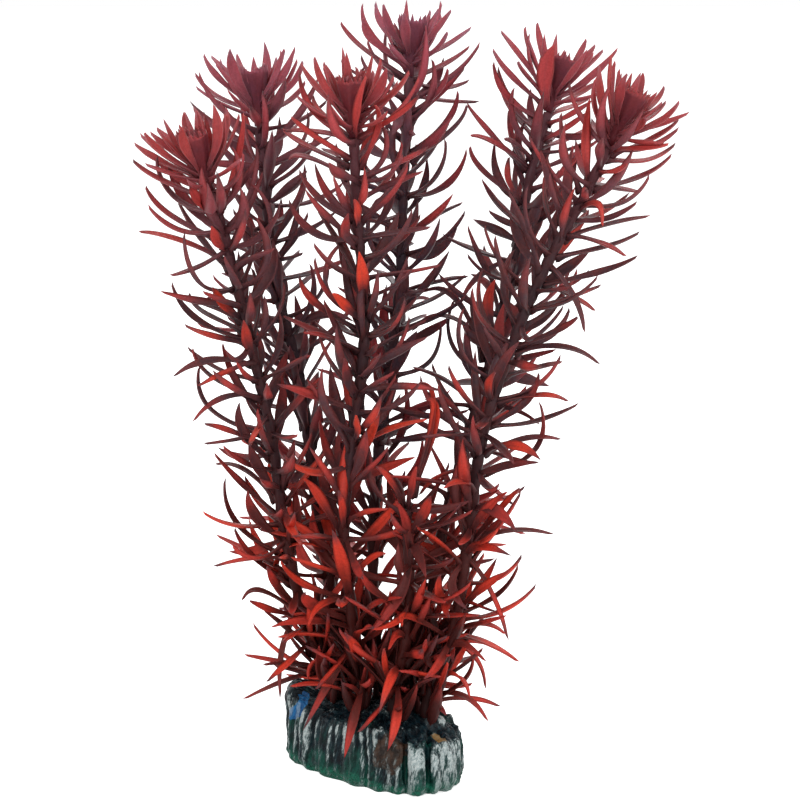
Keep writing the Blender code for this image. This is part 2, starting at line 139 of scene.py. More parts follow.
# Leaves that stand out in the picture, by stem. In picture points: the row of the root on the stem, the
# point of the middle, the point of the tip and the seen width. Then the redness, and whether the tip comes
# forward (below 0) or goes back (above 0)
TRACED_LEAVES = {
    "front_left": (
        (200, 160, 178, 133, 159, 6, 0.5, -1), (212, 237, 160, 243, 112, 9, 0.8, -1),
        (240, 170, 214, 146, 185, 7, 0.5, -1), (262, 176, 238, 138, 231, 6.5, 0.8, -1),
        (322, 203, 302, 162, 291, 5, 0.45, 1), (322, 223, 303, 213, 287, 11, 1, -1),
        (330, 204, 311, 190, 292, 5, 0.05, 1), (337, 196, 318, 172, 281, 7, 0.1, -1),
        (366, 210, 360, 172, 377, 9, 0.25, -1), (395, 213, 376, 193, 347, 4, 0.4, 1),
        (420, 236, 380, 223, 342, 8.5, 0.5, -1), (434, 211, 408, 201, 364, 4.5, 0, -1),
        (445, 232, 431, 204, 423, 6.5, 0.7, -1), (500, 258, 466, 249, 445, 12, 0.2, -1),
        (502, 245, 469, 214, 464, 4.5, 0.05, 1), (518, 243, 484, 214, 452, 7, 0.55, -1),
        (540, 256, 516, 248, 490, 12, 0.4, -1), (553, 238, 524, 226, 477, 5.5, 0, -1),
        (583, 254, 557, 235, 527, 6, 0.5, -1), (608, 277, 585, 268, 566, 9, 0.6, -1),
        (610, 283, 645, 280, 700, 8, 0.25, -1), (615, 262, 590, 241, 601, 4.5, 0.05, -1),
        (618, 270, 609, 250, 600, 7, 0.75, -1), (668, 280, 661, 244, 654, 5.5, 0.7, -1),
        (668, 282, 681, 242, 699, 4.5, 0.3, -1), (675, 290, 668, 270, 661, 6, 0.4, 1),
        (690, 322, 672, 319, 645, 13, 0.35, -1), (215, 199, 200, 190, 184, 12, 0.85, -1),
        (252, 217, 240, 212, 226, 12, 0.85, -1), (362, 247, 340, 244, 320, 12, 0.75, -1),
        (465, 244, 432, 240, 402, 11, 0.1, -1), (560, 297, 520, 292, 480, 11, 0.35, -1),
    ),
    "back_left": (
        (335, 312, 300, 309, 263, 8, 0.3, -1), (402, 295, 372, 290, 345, 9, 0.3, -1),
        (430, 316, 402, 313, 378, 7, 0.6, 1),
    ),
    "front_centre": (
        (132, 313, 110, 300, 70, 8, 0.7, -1), (138, 322, 114, 314, 95, 9, 0.8, 1),
        (142, 357, 108, 366, 75, 10, 0.95, -1), (136, 395, 116, 419, 95, 9, 0.9, -1),
        (160, 317, 137, 291, 116, 8, 0.9, -1), (164, 306, 144, 283, 128, 6, 0.5, 1),
        (172, 377, 130, 374, 105, 8, 0.85, -1), (178, 402, 160, 428, 146, 6, 0.5, -1),
        (180, 308, 156, 288, 160, 5, 0.3, -1), (600, 303, 583, 281, 560, 8, 1, -1),
        (600, 322, 604, 308, 626, 8, 0.95, -1), (622, 312, 604, 306, 593, 13, 0.7, -1),
        (668, 357, 652, 344, 632, 13, 1, -1), (228, 358, 213, 355, 199, 9, 1, -1),
        (250, 346, 233, 349, 213, 12, 0.6, -1), (311, 363, 280, 359, 251, 14, 0.95, -1.3),
        (322, 345, 305, 333, 293, 12, 1, -1), (330, 316, 303, 300, 275, 9, 0.7, -1),
        (353, 329, 336, 303, 332, 5, 0.6, -1), (400, 348, 380, 345, 357, 11, 0.45, -1),
        (442, 357, 430, 355, 415, 9, 0.9, -1), (470, 367, 440, 380, 411, 13, 1, -1),
        (486, 361, 457, 366, 430, 12, 0.5, -1), (535, 343, 512, 339, 490, 9, 0.8, -1),
        (540, 322, 500, 303, 478, 11, 0.85, -1), (562, 305, 530, 268, 513, 9, 0.9, -1),
        (585, 367, 561, 386, 553, 8, 0.9, -1), (604, 343, 566, 332, 529, 16, 1, -1.7),
    ),
    "back_centre": (
        (76, 362, 46, 341, 21, 6, 0.5, 1), (76, 443, 64, 470, 45, 6.5, 0.5, 1),
        (80, 440, 87, 470, 79, 5.5, 0.1, 1), (92, 442, 99, 480, 101, 5, 0.3, 1),
        (112, 437, 92, 447, 68, 7, 0.5, -1), (122, 440, 93, 465, 66, 8, 0.6, 1),
        (152, 446, 122, 457, 90, 8, 0.5, 1), (165, 450, 130, 466, 104, 5, 0.05, 1),
        (328, 400, 303, 422, 293, 8, 0.05, -1), (374, 428, 362, 440, 322, 5, 0.05, 1),
        (390, 400, 358, 418, 330, 14, 0.05, -1),
    ),
    "back_right": (
        (112, 570, 106, 590, 97, 6, 0.8, 1), (120, 507, 95, 494, 61, 9, 0.6, -1),
        (122, 566, 116, 592, 100, 7, 0.8, -1), (140, 514, 112, 501, 86, 5.5, 0.3, 1),
        (140, 565, 128, 587, 112, 8, 0.8, -1), (147, 567, 138, 587, 126, 6, 0.7, 1),
        (160, 518, 144, 504, 138, 6, 0, -1), (168, 495, 142, 470, 135, 7, 0.7, -1),
        (172, 492, 134, 467, 102, 6.5, 0.5, -1), (108, 545, 74, 555, 44, 24, 0.9, -1),
        (200, 483, 170, 471, 146, 8, 0.5, -1), (205, 509, 180, 510, 157, 9, 0.85, -1),
        (255, 480, 275, 461, 302, 8, 0.4, -1), (340, 488, 305, 496, 279, 13, 0.95, -1),
        (350, 447, 315, 411, 332, 5, 0, 1), (372, 457, 300, 420, 293, 8, 0, 1),
    ),
    "front_right": (
        (140, 643, 147, 669, 143, 7, 0.95, -1), (154, 653, 137, 679, 117, 5.5, 0.6, 1),
        (155, 645, 159, 676, 142, 5.5, 0.7, 1), (168, 614, 170, 627, 163, 8, 1, -1),
        (185, 586, 143, 590, 97, 12, 0.85, -1), (187, 639, 176, 672, 153, 5.5, 0.35, 1),
        (195, 566, 150, 562, 112, 6, 0.2, 1), (228, 550, 183, 541, 150, 10, 0.15, -1),
        (232, 600, 241, 627, 256, 5.5, 0.6, -1), (240, 603, 224, 651, 215, 5, 0.05, 1),
        (256, 603, 246, 640, 231, 5, 0.05, -1), (262, 574, 296, 585, 333, 8.5, 0.08, -1),
        (280, 576, 297, 596, 311, 6, 0.6, 1), (284, 598, 272, 638, 255, 8, 0.1, -1),
        (345, 557, 330, 577, 316, 7, 0.4, -1), (355, 562, 346, 601, 365, 8, 0.2, -1),
        (375, 540, 366, 563, 361, 6, 0.35, 1), (402, 540, 394, 569, 401, 5, 0.8, -1),
        (424, 532, 421, 580, 402, 5, 0.05, 1), (428, 526, 401, 538, 372, 9, 0.45, -1),
        (455, 525, 438, 562, 439, 6, 0.35, -1), (470, 534, 450, 538, 400, 5, 0.4, -1),
        (474, 503, 466, 540, 462, 10, 0.35, -1), (538, 484, 512, 508, 491, 10, 0.75, -1),
        (545, 498, 511, 520, 487, 8, 0.85, -1), (545, 508, 530, 555, 534, 6, 0.08, 1),
        (553, 492, 592, 509, 641, 6, 0.7, -1), (560, 478, 546, 512, 556, 11, 0.8, -1),
        (590, 447, 603, 449, 618, 10, 0.8, -1), (612, 440, 594, 441, 574, 11, 1, -1),
        (612, 482, 588, 511, 570, 9, 0.85, -1), (612, 496, 595, 518, 564, 5, 0.1, 1),
        (628, 484, 623, 506, 634, 4.5, 0.65, -1), (630, 475, 624, 507, 615, 5, 0.5, -1),
        (640, 410, 616, 402, 627, 8, 1, -1), (655, 460, 643, 487, 662, 8, 0.35, -1),
        (672, 426, 656, 427, 639, 9, 0.6, -1), (672, 458, 661, 480, 655, 4, 0.05, 1),
        (697, 462, 695, 489, 722, 7, 0.4, -1), (700, 462, 681, 472, 655, 4.5, 0.3, -1),
        (705, 440, 682, 447, 662, 6, 0.8, -1), (212, 597, 203, 603, 227, 8, 0.9, -1),
        (398, 499, 370, 520, 341, 12, 0.3, -1), (402, 488, 388, 495, 371, 9, 0.8, -1),
        (562, 452, 586, 468, 610, 11, 0.2, -1),
    ),
    "short": (
        (553, 401, 592, 370, 633, 13, 0.45, -1), (600, 398, 620, 373, 629, 7, 1, -1),
        (640, 398, 634, 388, 650, 8, 0.8, -1), (690, 386, 668, 385, 648, 7, 1, -1),
        (447, 433, 412, 417, 384, 7, 0.8, -1), (450, 434, 422, 424, 400, 12, 0.9, -1),
        (505, 392, 482, 376, 466, 8, 0.8, -1),
        (510, 411, 488, 416, 466, 9, 0.7, -1), (535, 424, 512, 430, 496, 12, 0.75, -1),
        (575, 408, 530, 395, 500, 11, 0.6, -1), (610, 372, 588, 363, 571, 8, 0.6, -1),
    ),
}

# The same for the leaves of the crowns
TRACED_CROWN_LEAVES = {
    "front_left": (
        (178, 160, 160, 134, 142, 8, 0.8, 1), (176, 163, 152, 145, 132, 8, 0.9, -1),
        (172, 170, 149, 150, 131, 8, 0.6, 1), (168, 175, 144, 157, 127, 8, 0.5, 1),
        (166, 189, 136, 184, 111, 10, 0.5, 1), (178, 186, 148, 182, 127, 11, 1, -1),
        (168, 204, 133, 193, 106, 7, 0.4, 1), (168, 208, 140, 204, 115, 8, 0.4, 1),
        (172, 217, 139, 213, 104, 13, 0.8, -1), (176, 223, 136, 226, 107, 11, 0.7, 1),
    ),
    "back_left": (
        (109, 218, 96, 195, 72, 6.5, 0.5, 1), (106, 220, 79, 204, 53, 7.5, 0.5, 1),
        (104, 227, 72, 211, 55, 6.5, 0.5, 1), (108, 236, 77, 230, 48, 13, 0.9, -1),
        (102, 243, 73, 237, 53, 8, 0.4, 1), (104, 266, 74, 264, 41, 11, 0.8, 1),
        (104, 274, 76, 284, 48, 9, 0.6, -1), (107, 281, 78, 295, 46, 10, 0.6, 1),
        (109, 290, 86, 302, 60, 9, 0.6, -1), (114, 289, 100, 305, 80, 7, 0.5, 1),
    ),
    "front_centre": (
        (117, 320, 90, 301, 62, 7.5, 0.7, 1), (114, 325, 86, 315, 56, 10, 0.8, -1),
        (112, 335, 87, 326, 64, 9, 0.6, 1), (110, 348, 76, 342, 58, 5, 0.4, 1),
        (112, 358, 88, 355, 66, 7, 0.5, 1), (115, 377, 92, 386, 68, 13, 0.6, -1),
        (116, 388, 97, 409, 70, 8, 0.95, -1),
    ),
    "back_centre": (
        (62, 372, 36, 363, 3, 8, 0.4, 1), (64, 374, 40, 364, 17, 12, 0.8, -1),
        (56, 384, 28, 376, 1, 9, 0.6, 1), (54, 390, 27, 384, 4, 10, 0.6, -1),
        (58, 406, 36, 404, 12, 12, 0.8, -1), (54, 423, 31, 430, 9, 7, 0.5, 1),
        (54, 429, 27, 438, 8, 7, 0.5, 1), (57, 434, 32, 451, 9, 8, 0.5, -1),
        (60, 443, 46, 472, 26, 6.5, 0.4, 1), (62, 434, 50, 447, 31, 7, 0.5, -1),
    ),
    "back_right": (
        (96, 541, 46, 538, 22, 8, 0.6, 1), (94, 532, 53, 526, 26, 5, 0.3, 1),
        (98, 521, 56, 501, 30, 7, 0.5, 1), (106, 513, 77, 493, 48, 8, 0.6, -1),
        (100, 528, 75, 519, 61, 5.5, 0.2, -1), (92, 576, 60, 586, 38, 8, 0.6, 1),
        (92, 583, 60, 595, 44, 8, 0.5, 1), (94, 587, 65, 603, 49, 6, 0.5, 1),
        (97, 590, 77, 618, 47, 8.5, 0.7, -1), (106, 577, 94, 599, 80, 8, 0.9, 1),
    ),
    "front_right": (
        (138, 602, 101, 600, 64, 9, 0.9, -1), (140, 596, 108, 597, 78, 6, 0.6, -1),
        (134, 611, 92, 615, 60, 8, 0.5, 1), (130, 619, 98, 627, 73, 10, 0.6, -1),
        (126, 636, 95, 643, 72, 11, 0.6, 1), (127, 651, 105, 664, 85, 8, 0.7, 1),
        (130, 648, 117, 666, 100, 6, 0.6, 1), (134, 636, 127, 646, 118, 11, 1, -1),
        (137, 656, 123, 679, 100, 6.5, 0.6, -1),
    ),
}

# Leaves that hang over the rock: the stem, half width in mm, turn to the front in degrees, redness, then the
# places of the root, the middle and the tip in mm
HANGING_LEAVES = (
    ("front_centre", 1.8, 62, 0.5, (-3, -5, 31), (-6, -18, 23), (-9, -22, 11)),
    ("short", 1.8, 65, 0.85, (8, -11, 33), (8, -26, 27), (5, -29, 16)),
    ("front_centre", 1.6, 60, 0.45, (-7, -9, 44), (-14, -10, 33), (-23, -7, 15)),
)

# How far a stem and a crown lean to purple: a painted pale sheen of the white surround, strongest on the
# back stems; those not named lean by the values below
BACK_STEM_SHEEN = {"back_left": 0.6, "back_centre": 0.8, "back_right": 0.4}
BACK_CROWN_SHEEN = {"back_left": 0.75, "back_centre": 0.9, "back_right": 0.45}
FRONT_LEAF_SHEEN = 0.08
FRONT_TRACED_SHEEN = 0.05
FRONT_CORE_SHEEN = 0.1
FRONT_CROWN_SHEEN = 0.1
TRACED_SHEEN = 0.7
SHEEN_LEAST = 0.5
CROWN_SHEEN_LEAST = 0.6

# Blades: half widths at the foot and at the crown of a stem, then the section and the outline
LEAF_RINGS = 16
LEAF_HALF_WIDTH = (1.95 * MM, 1.8 * MM)
LEAF_WIDTHS = (0.75, 1.15)
LEAF_WIDEST = 0.5
LEAF_ROOT_SHARE = 0.44
LEAF_TAPER = 1.7
LEAF_FOLD = 0.32
LEAF_FOLD_POWER = 1.2
LEAF_KEEL = 0.5 * MM
LEAF_KEEL_POWER = 1.4
LEAF_EDGE = 0.2 * MM
LEAF_CLASP = 1.7 * MM
LEAF_CLASP_REACH = 0.07
LEAF_SUNK = 1.1 * MM
LEAF_RIPPLE = 0.16 * MM
LEAF_RIPPLES = (0.8, 1.6)
# Across the blade: place from edge to edge on the upper face, then back under it
LEAF_ACROSS = (-1.0, -0.55, 0.0, 0.55, 1.0, 0.5, 0.0, -0.5)
LEAF_UPPER = 5

# Leaves that the solids leave out: their share at the foot and at the crown of a stem, and the range of what
# they curl more, in degrees
EXTRA_SHARE = (0.05, 0.75)
EXTRA_CURL = (-80, 45)
# Bow and twist in degrees at the foot and at the crown of a stem, then the limits of a bow in radians
LEAF_BOW = (-4, 13)
LEAF_BOW_SPREAD = (19, 9)
FINE_TWIST = (22, 26)
BOW_LIMIT = 1.0
STRAIGHT = 0.01

# Redness of the stems' leaves: how it's drawn, what the low bush adds and up to which share of the height
RED_DRAW = (1.3, 2.7)
LOW_RED = 0.6
LOW_REACH = 0.62
LOW_FADE = 1.5
FOOT_REACH = 0.1
OUTWARD_RED = 0.06
SHEEN_REDNESS = -0.1

# Traced leaves; BLADE_SEEN is how many picture points a blade shows on edge
TRACED_START = 0.06
TRACED_LENGTH = 27.0 * MM
TRACED_DEPTHS = (3.0 * MM, 17.0 * MM)
TRACED_LEAN = 0.8
TRACED_MIDDLE = 0.6
TRACED_HALF_WIDTH = (1.1 * MM, 0.07 * MM)
BLADE_SEEN = 1.2
TRACED_REACH = {"stem": 15.0 * MM, "crown": 11.0 * MM}
ROOT_WEIGHT = 0.3

# Where leaves may be and how old their plastic looks
LOWEST_WHORL = 22.5 * MM
LOWEST_TIP = 20.0 * MM
FLOOR_CLEARANCE = 0.8 * MM
ROCK_CLEARANCE = 1.0 * MM
ROCK_PLAN = 1.12
STEM_CLEARANCE = 1.7 * MM
CLEARANCE_STEP = 3
YOUNG_REACH = 48.0 * MM
OLD_FROM = 122.0 * MM
OLD_REACH = 68.0 * MM
HANGING_AGE = -1.0

# Sheath: dark leaves that lie close along the foot of a stem
SHEATH_HEIGHT = 46.0 * MM
SHEATH_LOWEST = 17.0 * MM
SHEATH_LEAVES = 3
SHEATH_SHAPE = {
    "lengths": (17.0 * MM, 27.0 * MM), "rise": (62, 9), "curl": (-4, 16), "sway": (0, 14), "twist": (0, 20),
}
SHEATH_RED = (0.0, 0.25)
SHEATH_WIDTHS = (0.7, 1.05)
SHEATH_ROOT_SHARE = 0.6
# Below an age of -1 the colour darkens towards the foot colour: darker towards the bottom
SHEATH_AGE = -1.4

# The stems' own cores
CORE_SIDES = 12
CORE_RINGS = 6
CORE_SWELL = 0.3 * MM
CORE_SCALE = 1.2
CORE_FLUTE = 0.93
# This lowers the cores' age near the foot, so they darken towards the foot colour: darker towards the bottom
CORE_FOOT_AGE = -0.5
CORE_CHANCE = 0.4

# Crowns: slender leaves in whorls, then broad guard leaves with angles in degrees, by their level and length
# in mm, their rise and their curl with spreads, and their half width in mm
CROWN_HALF_WIDTH = 1.3 * MM
CROWN_WIDTHS = (0.85, 1.15)
CROWN_RED = (0.3, 1.0)
CROWN_BLADE = {"widest": 0.56, "root": 0.36}
CROWN_SPINE = [0.5 * MM * step for step in range(30)]
FRONT_DROP = math.radians(26)
CUP_LEVEL = GAP + COLLAR_HEIGHT + ROSETTE_PITCH * len(ROSETTE_WHORLS)
GUARD_WHORLS = ((-1.2, 20.5, (36, 8), (30, 7), 1.35), (0.2, 17.5, (56, 8), (14, 7), 1.45))
GUARD_ANGLES = (15, 50, 90, 130, 165)
GUARD_ANGLE_SPREAD = 9
GUARD_LENGTHS = (0.8, 1.1)
GUARD_BENDS = {"sway": (0, 8), "twist": (0, 14)}
GUARD_FOOT = 1.5 * MM
GUARD_CLASP = 0.6 * MM
GUARD_SHARE = {"back_centre": 0.86}
INNER_RED = (0.3, 0.8)

# Cups: the outer wall's levels and radii, then shares of the rim's radius with the height of its notches and
# what its teeth lose, then shares of the rim's radius and height for the floor inside
CUP_TEETH = 22
CUP_PLEATS = 7
CUP_PLEAT = 0.22 * MM
CUP_PLEAT_ROWS = 4
CUP_RIM_RADIUS = 4.6 * MM
CUP_RIM_HEIGHT = 12.4 * MM
CUP_WALL = (
    (-CUP_LEVEL + GAP, 1.45 * MM), (-CUP_LEVEL / 2, 1.5 * MM), (0.0, 1.6 * MM), (1.5 * MM, 2.0 * MM),
    (3.5 * MM, 2.7 * MM), (5.5 * MM, 3.4 * MM), (0.7 * CUP_RIM_HEIGHT, 0.92 * CUP_RIM_RADIUS),
    (0.84 * CUP_RIM_HEIGHT, CUP_RIM_RADIUS),
)
CUP_TOOTH_HEIGHTS = (0.9, 1.14)
CUP_RIM = ((1.04, 0.9, 0.0), (0.86, 0.82, 0.09))
CUP_FLOOR = ((0.62, 0.55), (0.2, 0.3))
# Where each ring of the cup lies in the run of colours from root to tip; the floor inside lies at the dark
# root end, partly the plastic's colour and partly painted shade in the cup's hollow
CUP_RUN = (0, 0, 0, 0.05, 0.1, 0.16, 0.22, 0.28, 0.5, 0.3, 0.05, 0.0)
CUP_RED = 0.5
# Leaves inside the cup, each a turn in radians further, with their rise and their curl in degrees
HEART_LEAVES = 9
HEART_TURN = 2.4
HEART_LENGTHS = (6.5 * MM, 8.5 * MM)
HEART_RISE = (68, 84)
HEART_CURL = 6
HEART_TWIST_SPREAD = 20
HEART_LEVEL = 4.2 * MM
HEART_RADII = (0.4 * MM, 2.0 * MM)
HEART_HALF_WIDTH = 1.3 * MM
HEART_BLADE = {"widest": 0.5, "root": 0.6, "clasp": 0.0}

# Rock grid and forms: middles and reaches in mm, columns as the x of their middle and their half width
ROCK_COLUMNS = 528
ROCK_SIDE_ROWS = 84
ROCK_TOP_ROWS = 34
FOLD_PITCH = 3.6
FOLD_DEPTH = 1.35
BOULDER = (5.6, -24.4, 13.0)
BOULDER_REACH = (5.3, 6.0, 6.4)
BOULDER_SHARPNESS = 1.5
LUMP = (20.0, -11.5, 18.6)
LUMP_REACH = (4.6, 4.6, 4.6)
PEAK = (-24.5, 11.5, 22.0)
PEAK_REACH = (9.0, 8.0, 9.0)
BLUE_PATCH = (-24.6, 3.4, 19.6)
BLUE_REACH = (1.9, 5.0, 6.2)
BLUE_SLANT = 0.62
OCHRE_PATCH = (22.0, -20.0, 16.9)
OCHRE_REACH = (4.6, 1.9, 1.0)
STROKE_LEAN = 0.22
COLUMNS = ((14.2, 3.1), (23.4, 5.0))
GROOVES = (10.7, 18.0)
GROOVE_WIDTH = 0.7
FRONT_SLANT = 0.35
FRONT_END = 24
PAINT_HEIGHT = 25.0
TINY = 1e-12

# Where each form sets in, from and to: in mm, or for upright, shoulder and peak as the upward share of the
# surface's direction, for the rim as a share of the height and for the patches as a share of their reach
FADES = {
    "front": (6, 11), "upright": (0.7, 0.0), "shoulder": (0.975, 0.325), "column_top": (21.5, 20.0),
    "groove_foot": (2.5, 5.5), "groove_top": (21, 17), "lip": (4.6, 2.8), "foot": (0, 1.2),
    "peak": (-0.2, 0.4), "rim": (0.72, 0.82), "boulder_patch": (1.2, 0.8), "blue_patch": (1.2, 0.7),
    "ochre_patch": (1.4, 0.5),
}

# Noise on the rock: cells per metre along x, y and z, and a shift that keeps the kinds apart
ROCK_NOISE = {
    "ragged": ((300, 300, 300), 4.4), "ragged_fine": ((900, 900, 900), 8.8), "tall": ((90, 90, 20), 5.5),
    "wander": ((110, 110, 45), 6.1), "wander_fine": ((330, 330, 150), 0.7), "strands": ((420, 420, 75), 3.1),
    "threads": ((950, 950, 190), 7.7), "bare": ((120, 120, 60), 3.9), "crumbs": ((1300, 1300, 1000), 1.3),
    "grains": ((3000, 3000, 2400), 5.9), "lumps": ((170, 170, 170), 2.2), "knobs": ((330, 330, 330), 4.0),
    "lip": ((420, 420, 420), 9.4),
}
LEANING_NOISE = ("strands", "threads", "bare")
RAGGED = (0.35, 0.2)
WANDER = (2.2, 0.7)
TALL = (0.55, 0.45)

# Height of each kind of relief in mm, and the share of silver that each form catches
RELIEF = {
    "strands": 0.32, "threads": 0.2, "crumbs": 0.14, "grains": 0.05, "top_lumps": 1.2, "top_knobs": 0.9,
    "top_folds": 0.7, "top_crumbs": 0.35, "lip": 0.55, "lip_crumbs": 0.2, "boulder": 1.2, "column": 1.1,
    "groove": -1.6, "lump": 3.2, "peak": 3.4,
}
SILVER = {
    "folds": 0.5, "strands": 0.22, "threads": 0.16, "column": 0.5, "top_folds": 0.2, "top_knobs": 0.7,
    "top_lumps": 0.3, "groove": -0.9, "lump": 0.8, "rim": 0.45, "bare": 0.3,
}
FOLD_MIDDLE = 0.62
TOP_FOLD_MIDDLE = 0.5
STRAND_MIDDLE = 0.45
FOLD_TALL = (0.45, 1.2)
CREST_TALL = (0.6, 1.2)
CALM_BOULDER = 0.8
CALM_COLUMN = 0.75
CALM_FINE = (0.35, 1.0)
LIP_CALM = 0.55

# Colours of the leaves: where the red sets in for dull and for red leaves, and how long it takes
STEM_LOOK = {
    # The root value: the foot of each blade and the stems' cores darker, partly the plastic's darker clasp,
    # partly painted shade where leaves meet the stem
    "start": (0.64, 0.13), "run": 0.44, "least": 0.3, "young_start": 0.28, "root": 0.54,
    # Purple tones, crimson and the cast: a painted pale sheen of the white surround, strongest on the back
    # stems
    "dark": (0.064, 0.028, 0.033), "dark_purple": (0.060, 0.030, 0.040), "dark_warm": (0.096, 0.027, 0.027),
    # The foot colour: leaves and cores darker towards the bottom
    "dark_old": (0.094, 0.015, 0.012), "dark_foot": (0.040, 0.010, 0.009),
    "dark_young": (0.150, 0.044, 0.053), "young": (0.36, 0.054, 0.062), "deep": (0.24, 0.028, 0.026),
    "vivid": (0.37, 0.040, 0.034), "hot": (0.60, 0.048, 0.022), "crimson": (0.21, 0.036, 0.050),
    # Edge band and pale colours: painted shade along the edges of red leaves, a painted lighter edge on dull
    # ones
    "bright_old": (0.48, 0.030, 0.017), "tip": (0.085, 0.031, 0.035), "edge": 0.45, "edge_from": 0.55,
    "pale": (0.17, 0.044, 0.044), "pale_old": (0.17, 0.020, 0.016), "cast": (1.0, 1.2, 1.35),
    "rough": (0.42, 0.56), "soft": 0.1, "gloss": 0.14,
}
CROWN_LOOK = {
    # The root value: the foot of each crown leaf and the cup's low rings darker, partly the plastic's darker
    # clasp, partly painted shade at the crown's centre
    "start": (0.32, 0.06), "run": 0.4, "least": 0.85, "young_start": 0.0, "root": 0.8,
    # Purple tones, crimson and the cast: a painted pale sheen of the white surround, strongest on the back
    # crowns
    "dark": (0.115, 0.018, 0.024), "dark_purple": (0.125, 0.022, 0.030), "dark_warm": (0.135, 0.018, 0.022),
    "dark_young": (0.20, 0.040, 0.046), "young": (0.30, 0.046, 0.050), "deep": (0.27, 0.038, 0.041),
    "vivid": (0.31, 0.044, 0.042), "hot": (0.38, 0.046, 0.031), "crimson": (0.28, 0.060, 0.076),
    # Edge band and pale colour: a painted highlight along the edges of the crown leaves
    "tip": (0.27, 0.082, 0.094), "edge": 0.35, "edge_from": 0.7, "pale": (0.36, 0.15, 0.16),
    "cast": (1.0, 1.5, 1.8), "rough": (0.42, 0.55), "soft": 0.2, "gloss": 0.15,
}

# What all leaves share: noise, then the ranges over which each colour or shade sets in
CLOUDS = (230, 4)
SPECKS = (1400, 2)
SPECK_SHIFT = (3, 1, 2)
WOBBLE = 0.3
LEAST_RED = (0.05, 0.6)
WARM_CLOUDS = (0.35, 0.7)
FOOT_AGE = (1.0, 1.5)
HOT_RED = (0.55, 1.0)
OLD_BRIGHT = 0.5
YOUNG_BRIGHT = 0.6
TIP_RUN = (0.66, 1.0)
TIP_CHANCE = (0.25, 0.75, 0.1, 1.0)
RIB = (0.0, 0.22, 0.15, 0.0)
SPECK_SHADE = (0.3, 0.7, 0.88, 1.1)
# How far along a blade the painted shade at its root reaches
ROOT_SHADE_RUN = 0.14
ROUGH_CLOUDS = (0.25, 0.75)
BLEED = (1.0, 0.2, 0.15)
BLEED_SCALE = 1.2 * MM
VEINS = 22.0
VEIN_HEIGHT = 0.12
SPECK_HEIGHT = 0.5
LEAF_BUMP = (0.25, 0.1 * MM)

# Paint of the rock: the range of the noise that blends two tones, and the tones
ROCK_PAINT = {
    "navy": ((0.42, 0.62), (0.002, 0.004, 0.006), (0.005, 0.016, 0.022)),
    "green": ((0.38, 0.62), (0.002, 0.016, 0.013), (0.004, 0.055, 0.040)),
    "moss": ((0.35, 0.65), (0.003, 0.036, 0.024), (0.006, 0.11, 0.066)),
    "stone": ((0.35, 0.65), (0.012, 0.007, 0.005), (0.046, 0.024, 0.015)),
    "sky": ((0.35, 0.65), (0.006, 0.045, 0.14), (0.018, 0.15, 0.36)),
    "metal": ((0.35, 0.7), (0.20, 0.25, 0.25), (0.43, 0.47, 0.46)),
}
WASH = (0.055, 0.085, 0.088)
OCHRE = (0.22, 0.12, 0.035)
# Noise of the paint: scale and detail, and where it's drawn out its roughness, stretch, lean and shift
PAINT_NOISE = {
    "broad": (110, 3), "brush": (700, 5, 0.72, 4.5, STROKE_LEAN),
    "scratch": (1500, 4, 0.75, 6.0, STROKE_LEAN, (1, 7, 3)),
    "fine": (2100, 4, 0.65, 1.6, STROKE_LEAN, (4, 2, 9)), "grit": (420, 3),
}
# How much each noise stirs a border, and the ranges over which the layers set in
FOOT_STIR = 2.2
LIP_STIR = 0.35
EDGE_STIR = 0.9
STROKE_STIR = 1.5
FOOT_RANGE = (0.25, 0.65)
MOSS_RANGE = (0.19, 0.10)
STONE_RANGE = (0.38, 0.62)
SKY_RANGE = (0.42, 0.62)
CLEAR_LIP = (0.05, 0.42, 0.35, 1.0)
CLEAR_PATCH = (0.3, 0.8, 1.0, 0.3)
WASH_RANGE = (0.30, 0.62)
WASH_SHARE = 0.55
METAL_RANGE = (0.58, 0.78)
OCHRE_RANGE = (0.45, 0.75, 0.0, 0.7)
ROCK_ROUGH = (0.3, 0.7, 0.2, 0.42)
ROCK_GLOSS = 0.15
ROCK_BUMP = (0.6, 0.2 * MM)


class Builder:
    """Collects points, faces and per-point values of one piece."""

    def __init__(self):
        self.points = []
        self.faces = []
        self.blade = []
        self.tint = []
        self.count = 0

    def add(self, points, faces, blade, tint):
        """Points as an array, faces of indices into it, blade (along, across, age) and tint per point."""
        self.points.append(points)
        self.faces.extend(tuple(self.count + i for i in face) for face in faces)
        self.blade.append(blade)
        self.tint.append(np.broadcast_to(np.array(tint, float), (len(points), 3)))
        self.count += len(points)

    def make(self, name, material):
        values = {"blade": np.concatenate(self.blade), "tint": np.concatenate(self.tint)}
        return make_piece(name, np.concatenate(self.points), self.faces, values, material)


def make_piece(name, points, faces, values, material):
    """A smooth mesh object with named values for each of its points."""
    mesh = bpy.data.meshes.new(name)
    mesh.from_pydata(points.tolist(), [], faces)
    for title, rows in values.items():
        layer = mesh.attributes.new(title, "FLOAT_VECTOR", "POINT")
        layer.data.foreach_set("vector", rows.astype(np.float32).ravel())
    mesh.shade_smooth()
    mesh.materials.append(material)
    piece = bpy.data.objects.new(name, mesh)
    bpy.context.scene.collection.objects.link(piece)
    return piece


def tube_faces(rows, across, pointed=True):
    """Faces of a closed tube of rings, that ends flat or in the point after its last ring."""
    last = (rows - 1) * across
    faces = [(r * across + c, r * across + (c + 1) % across, (r + 1) * across + (c + 1) % across,
              (r + 1) * across + c) for r in range(rows - 1) for c in range(across)]
    if pointed:
        faces += [(last + c, last + (c + 1) % across, last + across) for c in range(across)]
    faces.append(tuple(range(across))[::-1])
    if not pointed:
        faces.append(tuple(range(last, last + across)))
    return faces


def mix(ends, share):
    """The value at a share of the way from one end to the other."""
    return ends[0] + (ends[1] - ends[0]) * share


